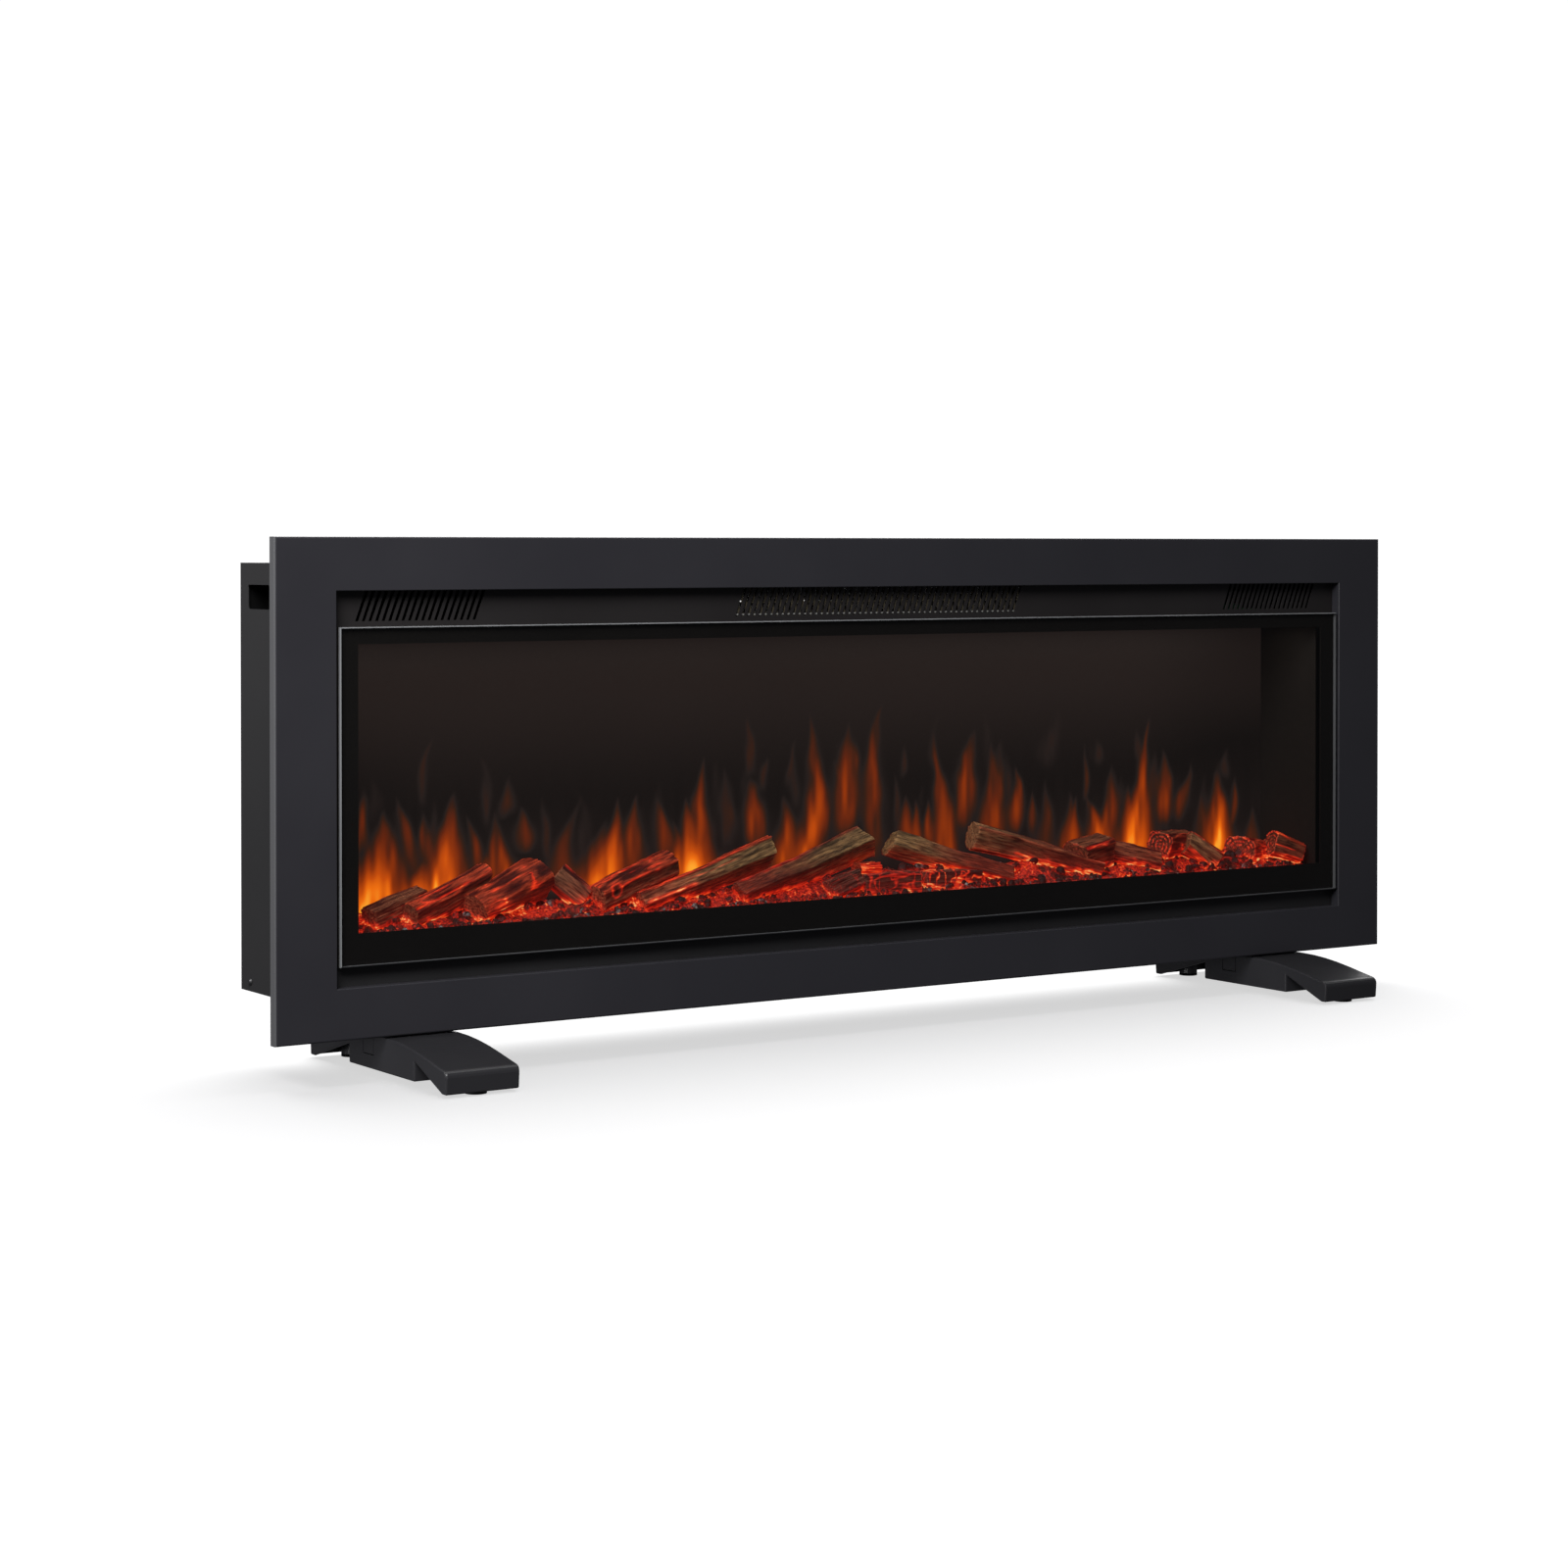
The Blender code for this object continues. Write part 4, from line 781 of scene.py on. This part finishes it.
billet(
    "log_05_wood", (-0.303, 0.034, 0.0990), (-0.211, 0.060, 0.1225), (0.0150, 0.0165),
    [(-55, 0.68), (-5, 0.80)], RED_BARK, BROWN_WOOD,
    stripes=[(92, 5, 0.1, 0.95, 0.85), (34, 5, 0.1, 0.7, 0.66), (64, 5, 0.4, 0.95, 0.55)], ember=0.6,
    bark_glow_and_painted_ember_light=0.44, knot=(0.16, 28, 0.0062), seed=505,
)
billet(
    "log_06_wood", (-0.258, 0.032, 0.0945), (-0.098, 0.062, 0.1300), (0.0105, 0.0145),
    [(-35, 0.60), (34, 0.74)], RED_BARK, BROWN_WOOD,
    far_wood=KHAKI, stripes=[(18, 13, 0.0, 0.45, 0.98), (84, 5, 0.2, 0.9, 0.68), (58, 5, 0.35, 0.8, 0.56)],
    ember=0.5, bark_glow_and_painted_ember_light=0.34, cuts=(0.0, 0.3), seed=606,
)
billet(
    "log_07_wood", (-0.148, 0.032, 0.0955), (0.013, 0.060, 0.1360), (0.0120, 0.0160),
    [(-30, 0.62), (52, 0.74)], MAROON, MAROON,
    far_wood=KHAKI, stripes=[(100, 14, 0.0, 0.62, 0.62)], ember=0.5, cuts=(0.0, -0.4), step=0.0018,
    seed=707,
)
billet(
    "log_08_wood", (0.044, 0.060, 0.1330), (0.166, 0.032, 0.0970), (0.0140, 0.0120),
    [(35, 0.68), (-45, 0.76), (110, 0.8)], MAROON, KHAKI,
    far_wood=MAROON, ember=0.75, cuts=(0.35, 0.0), step=0.0026, seed=808,
)
billet(
    "log_09_wood", (0.144, 0.062, 0.1360), (0.282, 0.034, 0.0955), (0.0138, 0.0112),
    [(-10, 0.74), (78, 0.78)], BROWN_WOOD, KHAKI_BROWN,
    far_wood=MAROON, stripes=[(-38, 9, 0.30, 0.85, 0.90)], ember=0.75, bark_glow_and_painted_ember_light=0.15,
    seed=909,
)
billet(
    "log_10_wood", (0.260, 0.041, 0.1080), (0.302, 0.048, 0.1165), (0.0180, 0.0175),
    [(-20, 0.70), (82, 0.78)], RED_BARK, BROWN_WOOD,
    stripes=[(34, 7, 0.0, 0.95, 0.70), (-52, 9, 0.0, 0.95, 0.84)], ember=0.8, bark_glow_and_painted_ember_light=0.56, rings=0.5,
    seed=1010,
)
billet(
    "log_11_wood", (0.310, 0.052, 0.1120), (0.362, 0.036, 0.0990), (0.0115, 0.0115),
    [(40, 0.7)], MAROON, BROWN_WOOD,
    ember=0.80, bark_glow_and_painted_ember_light=0.15, seed=1111,
)
billet(
    "log_12_wood", (0.370, 0.044, 0.1160), (0.424, 0.064, 0.1150), (0.0150, 0.0135),
    [(75, 0.88)], RED_BARK, BROWN_WOOD,
    ember=0.75, bark_glow_and_painted_ember_light=0.36, rings=1.0, seed=1212,
)
billet(
    "log_13_wood", (0.402, 0.040, 0.1160), (0.434, 0.028, 0.0970), (0.0120, 0.0115),
    [(20, 0.7)], RED_BARK, KHAKI_BROWN,
    ember=0.80, bark_glow_and_painted_ember_light=0.40, rings=0.5, twist=0.8, seed=1313,
)
billet(
    "log_14_wood", (0.477, 0.042, 0.1020), (0.520, 0.058, 0.0990), (0.0195, 0.0150),
    [(-80, 0.8), (95, 0.85)], RED_BARK, BROWN_WOOD,
    ember=0.75, bark_glow_and_painted_ember_light=0.40, rings=1.0, seed=1414,
)
billet(
    "log_15_wood", (0.511, 0.031, 0.1110), (0.5465, 0.0255, 0.0985), (0.0130, 0.0105),
    [(5, 0.75)], RED_BARK, BROWN_WOOD,
    stripes=[(0, 6, 0.0, 0.8, 0.86)], ember=0.8, bark_glow_and_painted_ember_light=0.58, rings=0.9, seed=1515,
)
billet(
    "charred_block_left", (-0.012, 0.033, 0.0955), (0.052, 0.031, 0.0960), (0.0150, 0.0150),
    [(0, 0.72), (90, 0.76), (180, 0.8), (-90, 0.8)], CHAR, DARK_WOOD,
    ember=0.55, cracks=0.62, seed=1616,
)
billet(
    "charred_block_right", (0.060, 0.033, 0.0960), (0.124, 0.030, 0.0930), (0.0155, 0.0140),
    [(0, 0.74), (90, 0.78), (180, 0.8), (-90, 0.8)], CHAR, DARK_WOOD,
    ember=0.7, cracks=0.92, seed=1717,
)
billet(
    "ember_lump", (-0.012, 0.040, 0.1120), (0.014, 0.042, 0.1110), (0.0075, 0.0070),
    [(90, 0.8)], RED_BARK, RED_BARK,
    ember=0.8, bark_glow_and_painted_ember_light=1.60, seed=1919,
)
billet(
    "charred_chunk", (-0.050, 0.030, 0.0955), (-0.014, 0.034, 0.1060), (0.0105, 0.0100),
    [(20, 0.7), (100, 0.75)], CHAR, DARK_WOOD,
    ember=0.55, cracks=0.40, seed=1818,
)

# ---------------------------------------------------------------- ember bed


def make_bed():
    """The moulded ember bed, as a fine height map closed by its sides and floor."""
    low, high = own_box("ember_bed")
    cell_x, cell_y, least_thickness, highest = 0.0016, 0.0014, 0.002, 0.1120
    x = np.linspace(low[0], high[0], int((high[0] - low[0]) / cell_x))
    y = np.linspace(low[1], high[1], int((high[1] - low[1]) / cell_y))
    grid_y, grid_x = np.meshgrid(y, x, indexing="ij")
    height, glow = bed_height(grid_x, grid_y)
    height = np.clip(height, low[2] + least_thickness, highest)
    top = np.stack([grid_x, grid_y, height], -1).reshape(-1, 3)
    corners = [(left_right, front_back, low[2]) for left_right, front_back in outline(low, high, up=1)]
    faces = closed_sheet_faces(*grid_x.shape)
    points = np.vstack([top, corners])
    thing = piece("ember_bed_embers", points, faces, [EMBER_FINISH], ["ember_bed"])
    tone = noise(top, 0.004, 51)
    tint = blend(CHAR, (0.16, 0.028, 0.016), 0.5 + 0.6 * tone)
    ash = ease(noise(top, 0.0025, 53), 0.45, 0.75) * (top[:, 1] < 0.024)
    tint = tint * (1 - ash[:, None]) + np.array((0.30, 0.29, 0.29)) * ash[:, None]
    glow = glow.ravel() * (1 - 0.8 * ash)
    add_values(thing, "tint", np.vstack([tint, np.full((4, 3), 0.02)]))
    add_values(thing, "glow", np.concatenate([glow, np.zeros(4)]))
    add_values(thing, "grain", points)


make_bed()


def broken_lump(ball, random):
    """A unit ball, stretched, cut flat on seven sides and turned about the vertical."""
    lump = ball * random.uniform(0.75, 1.25, 3)
    for _ in range(7):
        cut = random.normal(size=3)
        cut /= np.linalg.norm(cut)
        over = np.maximum(lump @ cut - random.uniform(0.45, 0.8), 0)
        lump = lump - over[:, None] * cut * 0.92
    turn = random.uniform(0, 2 * np.pi)
    spin = np.array([[np.cos(turn), -np.sin(turn), 0], [np.sin(turn), np.cos(turn), 0], [0, 0, 1]])
    return lump @ spin.T


COALS = 420


def make_coals():
    """Loose-looking lumps of charcoal and ember, moulded on the bed round the logs."""
    random = np.random.default_rng(8)
    sphere = bmesh.new()
    bmesh.ops.create_icosphere(sphere, subdivisions=3, radius=1.0)
    ball = np.array([v.co[:] for v in sphere.verts])
    ball_faces = np.array([[v.index for v in f.verts] for f in sphere.faces])
    sphere.free()
    points, faces, tints, glows = [], [], [], []
    low, high = own_box("ember_bed")
    for k in range(COALS):
        x = random.uniform(low[0] + 0.006, high[0] - 0.006)
        front_row = k % 5 < 3
        y = random.uniform(0.0175, 0.027) if front_row else random.uniform(0.027, 0.066)
        size = random.uniform(0.0022, 0.0050) if front_row else random.uniform(0.0030, 0.0060)
        lump = broken_lump(ball, random) * size
        here = np.array((x, y, bed_height(np.array(x), np.array(y))[0] + size * 0.25))
        spot = lump + here
        spot = spot + 0.0004 * noise(spot, 0.002, 61)[:, None] * lump / size
        heat = random.uniform(0, 1)
        under = 1 - ease(spot[:, 2], here[2] - size * 0.5, here[2] + size * 0.5)
        vein = np.clip(1 - np.abs(noise(spot, 0.0026, 63)) / 0.22, 0, 1)
        glow = (0.15 + 0.5 * under + 0.55 * vein * ease(np.array(heat), 0.2, 0.7)) * (0.4 + 0.7 * heat)
        ash = ease(np.array(random.uniform(0, 1)), 0.80, 0.86) * ease(noise(spot, 0.003, 65), -0.2, 0.5)
        colour = blend(CHAR, (0.12, 0.022, 0.014), 0.5 * heat + 0.5 * noise(spot, 0.003, 67))
        colour = colour * (1 - ash[:, None]) + np.array((0.34, 0.33, 0.33)) * ash[:, None]
        faces.append(ball_faces + len(ball) * len(points))
        points.append(spot)
        tints.append(colour)
        glows.append(np.clip(glow * (1 - 0.8 * ash), 0, 1))
    points = np.vstack(points)
    thing = piece("ember_coals", points, np.vstack(faces), [EMBER_FINISH])
    add_values(thing, "tint", np.vstack(tints))
    add_values(thing, "glow", np.concatenate(glows))
    add_values(thing, "grain", points)


make_coals()

# ---------------------------------------------------------------- glass


def smoked_glass():
    """Glass that lets most light straight through and shines a little."""
    material, tree, shader = new_material("smoked_glass")
    streaks = noise_node(tree, coordinates(tree), 0.20, 2.0)
    smoke = mix_node(tree, streaks, (0.0008, 0.0008, 0.0008), (0.0014, 0.0014, 0.0014))
    tree.links.new(smoke, shader.inputs["Base Color"])
    tree.links.new(map_node(tree, streaks, 0.02, 0.05), shader.inputs["Roughness"])
    shader.inputs["Specular IOR Level"].default_value = 0.35
    through = tree.nodes.new("ShaderNodeBsdfTransparent")
    mix = tree.nodes.new("ShaderNodeMixShader")
    tree.links.new(map_node(tree, streaks, GLASS_TINT - 0.01, GLASS_TINT + 0.01), mix.inputs["Fac"])
    tree.links.new(through.outputs["BSDF"], mix.inputs[1])
    tree.links.new(shader.outputs["BSDF"], mix.inputs[2])
    tree.links.new(mix.outputs["Shader"], tree.nodes["Material Output"].inputs["Surface"])
    return material


def make_glass():
    """The smoked pane, with its ground edge as a second material on the bevels and rims."""
    low, high = own_box("front_glass")
    bevel = 0.0009
    outer, inner = outline(low, high), outline(low, high, inset=bevel)
    points = [(x, low[1], z) for x, z in inner]
    points += [(x, low[1] + bevel, z) for x, z in outer]
    points += [(x, high[1] - bevel * 0.5, z) for x, z in outer]
    points += [(x, high[1], z) for x, z in inner]
    pane, edge = 0, 1
    faces, kinds = [(0, 1, 2, 3)], [pane]
    for ring in range(0, 12, 4):
        for k in range(4):
            j = (k + 1) % 4
            faces.append((ring + j, ring + k, ring + 4 + k, ring + 4 + j))
            kinds.append(edge)
    faces.append((15, 14, 13, 12))
    kinds.append(pane)
    smoked = smoked_glass()
    ground = coating(
        "ground_edge", (0.095, 0.098, 0.102), (0.15, 0.153, 0.158),
        grain=0.0008, rough=(0.32, 0.45), bump=0.00002,
    )
    piece("glass_pane", points, faces, [smoked, ground], ["front_glass"], smooth=False, kinds=kinds)


make_glass()

# ---------------------------------------------------------------- heater guard


BOX_FACES = ((0, 1, 3, 2), (4, 6, 7, 5), (0, 4, 5, 1), (2, 3, 7, 6), (0, 2, 6, 4), (1, 5, 7, 3))


def make_guard():
    """Upright wires on four cross bars behind the middle slots, and a lighter strip below."""
    low, high = own_box("heater_guard")
    low, high = low + (0.001, 0, 0.001), high - (0.001, 0, 0.001)
    middle = low[1] - 0.0030
    wire_kind, strip_kind = 0, 1
    points, faces, kinds = [], [], []

    def bar(first, second, half, kind):
        """A straight bar between two (x, z) places, half as thick as half says along x, y and z."""
        base = len(points)
        for x in (first[0] - half[0], second[0] + half[0]):
            for y in (middle - half[1], middle + half[1]):
                for z in (first[1] - half[2], second[1] + half[2]):
                    points.append((x, y, z))
        for face in BOX_FACES:
            faces.append(tuple(base + k for k in face))
            kinds.append(kind)

    wire_gap, bar_inset, strip_height = 0.0042, 0.0012, 0.3590
    count = int((high[0] - low[0]) / wire_gap)
    for x in np.linspace(low[0] + bar_inset, high[0] - bar_inset, count):
        bar((x, low[2] + 0.0002), (x, high[2] - 0.0002), (0.0008, 0.0006, 0), wire_kind)
    for share, half_height in ((0.0, 0.0010), (0.36, 0.0005), (0.66, 0.0005), (1.0, 0.0010)):
        z = low[2] + bar_inset + (high[2] - low[2] - 2 * bar_inset) * share
        bar((low[0], z), (high[0], z), (0, 0.0008, half_height), wire_kind)
    bar((low[0], strip_height), (high[0], strip_height), (0, 0.0011, 0.0006), strip_kind)
    wire = coating(
        "guard_wire", (0.040, 0.033, 0.020), (0.064, 0.054, 0.036),
        grain=0.002, rough=(0.50, 0.62), bump=0.00002, specular=0.3,
    )
    strip = coating(
        "guard_strip", (0.18, 0.18, 0.17), (0.25, 0.25, 0.24),
        grain=0.004, rough=(0.40, 0.52), bump=0.00002,
    )
    piece(
        "heater_guard_wires", points, faces, [wire, strip], ["heater_guard"],
        smooth=False, kinds=kinds,
    )


make_guard()

# ---------------------------------------------------------------- the CAD nodes that stay


def returned_coat():
    """The powder coat of the frame, with a painted sheen that lightens its two end returns."""
    material = FINISH["powder_coat"].copy()
    material.name = "powder_coat_frame"
    tree = material.node_tree
    shader = tree.nodes["Principled BSDF"]
    split = tree.nodes.new("ShaderNodeSeparateXYZ")
    tree.links.new(tree.nodes["Texture Coordinate"].outputs["Object"], split.inputs[0])
    across = tree.nodes.new("ShaderNodeMath")
    across.operation = "ABSOLUTE"
    tree.links.new(split.outputs["X"], across.inputs[0])
    # Painted sheen: on the end returns, past this distance from the middle, the coat turns a paler grey.
    painted_sheen_from, painted_sheen_to = 0.6340, 0.6347
    edge = map_node(tree, across.outputs[0], 0.0, 1.0, painted_sheen_from, painted_sheen_to)
    coat = shader.inputs["Base Color"].links[0].from_socket
    tree.links.new(mix_node(tree, edge, coat, (0.070, 0.070, 0.074)), shader.inputs["Base Color"])
    return material


LINER = coating(
    "liner_smoke", (0.019, 0.0150, 0.0125), (0.025, 0.0205, 0.0170),
    grain=0.0012, rough=(0.60, 0.72), bump=0.00003, specular=0.2,
)
# Painted shade: the black grip cups are darkened to almost nothing, as the inside of the recess looks in
# shade.
GRIP_CUP_SHADE = coating(
    "cup_painted_shade", (0.0010, 0.0010, 0.0011), (0.0018, 0.0018, 0.0019),
    grain=0.0010, rough=(0.70, 0.80), bump=0.00003, specular=0.05,
)
OWN_FINISH = {
    "front_frame": returned_coat(),
    "left_grip_cup": GRIP_CUP_SHADE,
    "right_grip_cup": GRIP_CUP_SHADE,
    "left_liner": LINER,
    "right_liner": LINER,
    "vent_panel": coating(
        "vent_black", (0.0080, 0.0068, 0.0070), (0.0110, 0.0094, 0.0096),
        grain=0.0009, rough=(0.52, 0.62), bump=0.00003, specular=0.3,
    ),
}

for part in frame["record"]["subparts"]:
    if part["material_slot"] in FINISH:
        finish = OWN_FINISH.get(part["node"], FINISH[part["material_slot"]])
        for place in NODES[part["node"]].material_slots:
            place.material = finish

# ---------------------------------------------------------------- floor, world and lights


def make_floor():
    """A wide pale floor under the object, which gives off some light of its own."""
    size = 9.0
    data = bpy.data.meshes.new("floor")
    corners = [(-size, -size, 0.0), (size, -size, 0.0), (size, size, 0.0), (-size, size, 0.0)]
    data.from_pydata(corners, [], [(0, 1, 2, 3)])
    floor = bpy.data.objects.new("floor", data)
    bpy.context.scene.collection.objects.link(floor)
    material, tree, shader = new_material("floor_paper")
    vector = coordinates(tree)
    paper = mix_node(tree, noise_node(tree, vector, 0.5, 2.0), (0.75, 0.75, 0.75), (0.77, 0.77, 0.77))
    tree.links.new(paper, shader.inputs["Base Color"])
    shader.inputs["Roughness"].default_value = 0.9
    shader.inputs["Specular IOR Level"].default_value = 0.1
    data.materials.append(material)
    shader.inputs["Emission Color"].default_value = (1.0, 1.0, 1.0, 1.0)
    shader.inputs["Emission Strength"].default_value = 0.63
    material.cycles.emission_sampling = "NONE"
    floor.visible_glossy = False
    floor.visible_diffuse = False
    return floor


floor_sheet = make_floor()


def make_world():
    """White behind the object, and a dim room for everything that isn't seen directly."""
    world = bpy.data.worlds.new("studio")
    bpy.context.scene.world = world
    world.use_nodes = True
    tree = world.node_tree
    room = tree.nodes["Background"]
    room.inputs["Color"].default_value = (0.094, 0.094, 0.102, 1.0)
    white = tree.nodes.new("ShaderNodeBackground")
    white.inputs["Color"].default_value = (1.0, 1.0, 1.0, 1.0)
    white.inputs["Strength"].default_value = 1.05
    path = tree.nodes.new("ShaderNodeLightPath")
    mix = tree.nodes.new("ShaderNodeMixShader")
    tree.links.new(path.outputs["Is Camera Ray"], mix.inputs["Fac"])
    tree.links.new(room.outputs["Background"], mix.inputs[1])
    tree.links.new(white.outputs["Background"], mix.inputs[2])
    tree.links.new(mix.outputs["Shader"], tree.nodes["World Output"].inputs["Surface"])


make_world()


def area_light(name, place, target, size, power):
    """A rectangular lamp at place that shines towards target."""
    data = bpy.data.lights.new(name, "AREA")
    data.shape = "RECTANGLE"
    data.size, data.size_y = size
    data.energy = power
    light = bpy.data.objects.new(name, data)
    bpy.context.scene.collection.objects.link(light)
    light.location = place
    light.rotation_euler = (Vector(target) - Vector(place)).to_track_quat("-Z", "Y").to_euler()
    return light


def spare_floor(light, floor):
    """Keeps a lamp off the floor, which would burn out under it."""
    kept = bpy.data.collections.new(light.name + "_spares")
    kept.objects.link(floor)
    kept.collection_objects[0].light_linking.link_state = "EXCLUDE"
    light.light_linking.receiver_collection = kept


sun = bpy.data.lights.new("overhead", "SUN")
sun.energy = 1.75
sun.angle = math.radians(58)
overhead = bpy.data.objects.new("overhead", sun)
bpy.context.scene.collection.objects.link(overhead)
overhead.rotation_euler = (math.radians(-21), math.radians(14), 0)

key = area_light("key", (-1.7, -1.3, 1.7), (-0.3, 0.0, 0.3), (1.2, 1.2), 112)
side = area_light("side", (-2.6, 1.2, 1.0), (-0.6, 0.05, 0.25), (1.2, 1.6), 16)
back = area_light("back", (1.2, 2.6, 1.5), (0.1, 0.1, 0.25), (1.8, 1.8), 60)
right = area_light("right", (2.8, 0.9, 0.9), (0.6, 0.1, 0.25), (1.4, 1.4), 22)
log_lamp = area_light("log_lamp", placed((0, 0.040, 0.3385)), placed((0, 0.034, 0.10)), (1.06, 0.03), 0.45)
log_lamp.data.color = (1.0, 0.93, 0.84)
log_lamp.visible_camera = False
for lamp in (key, side, back, right, log_lamp):
    spare_floor(lamp, floor_sheet)

foot_lamp = area_light("foot_lamp", (-2.3, -1.2, 0.30), (-0.2, -0.05, 0.02), (0.9, 0.4), 42)
feet = bpy.data.collections.new("foot_lamp_feet")
for node in ("left_foot", "right_foot", "left_foot_latch", "right_foot_latch"):
    feet.objects.link(NODES[node])
foot_lamp.light_linking.receiver_collection = feet
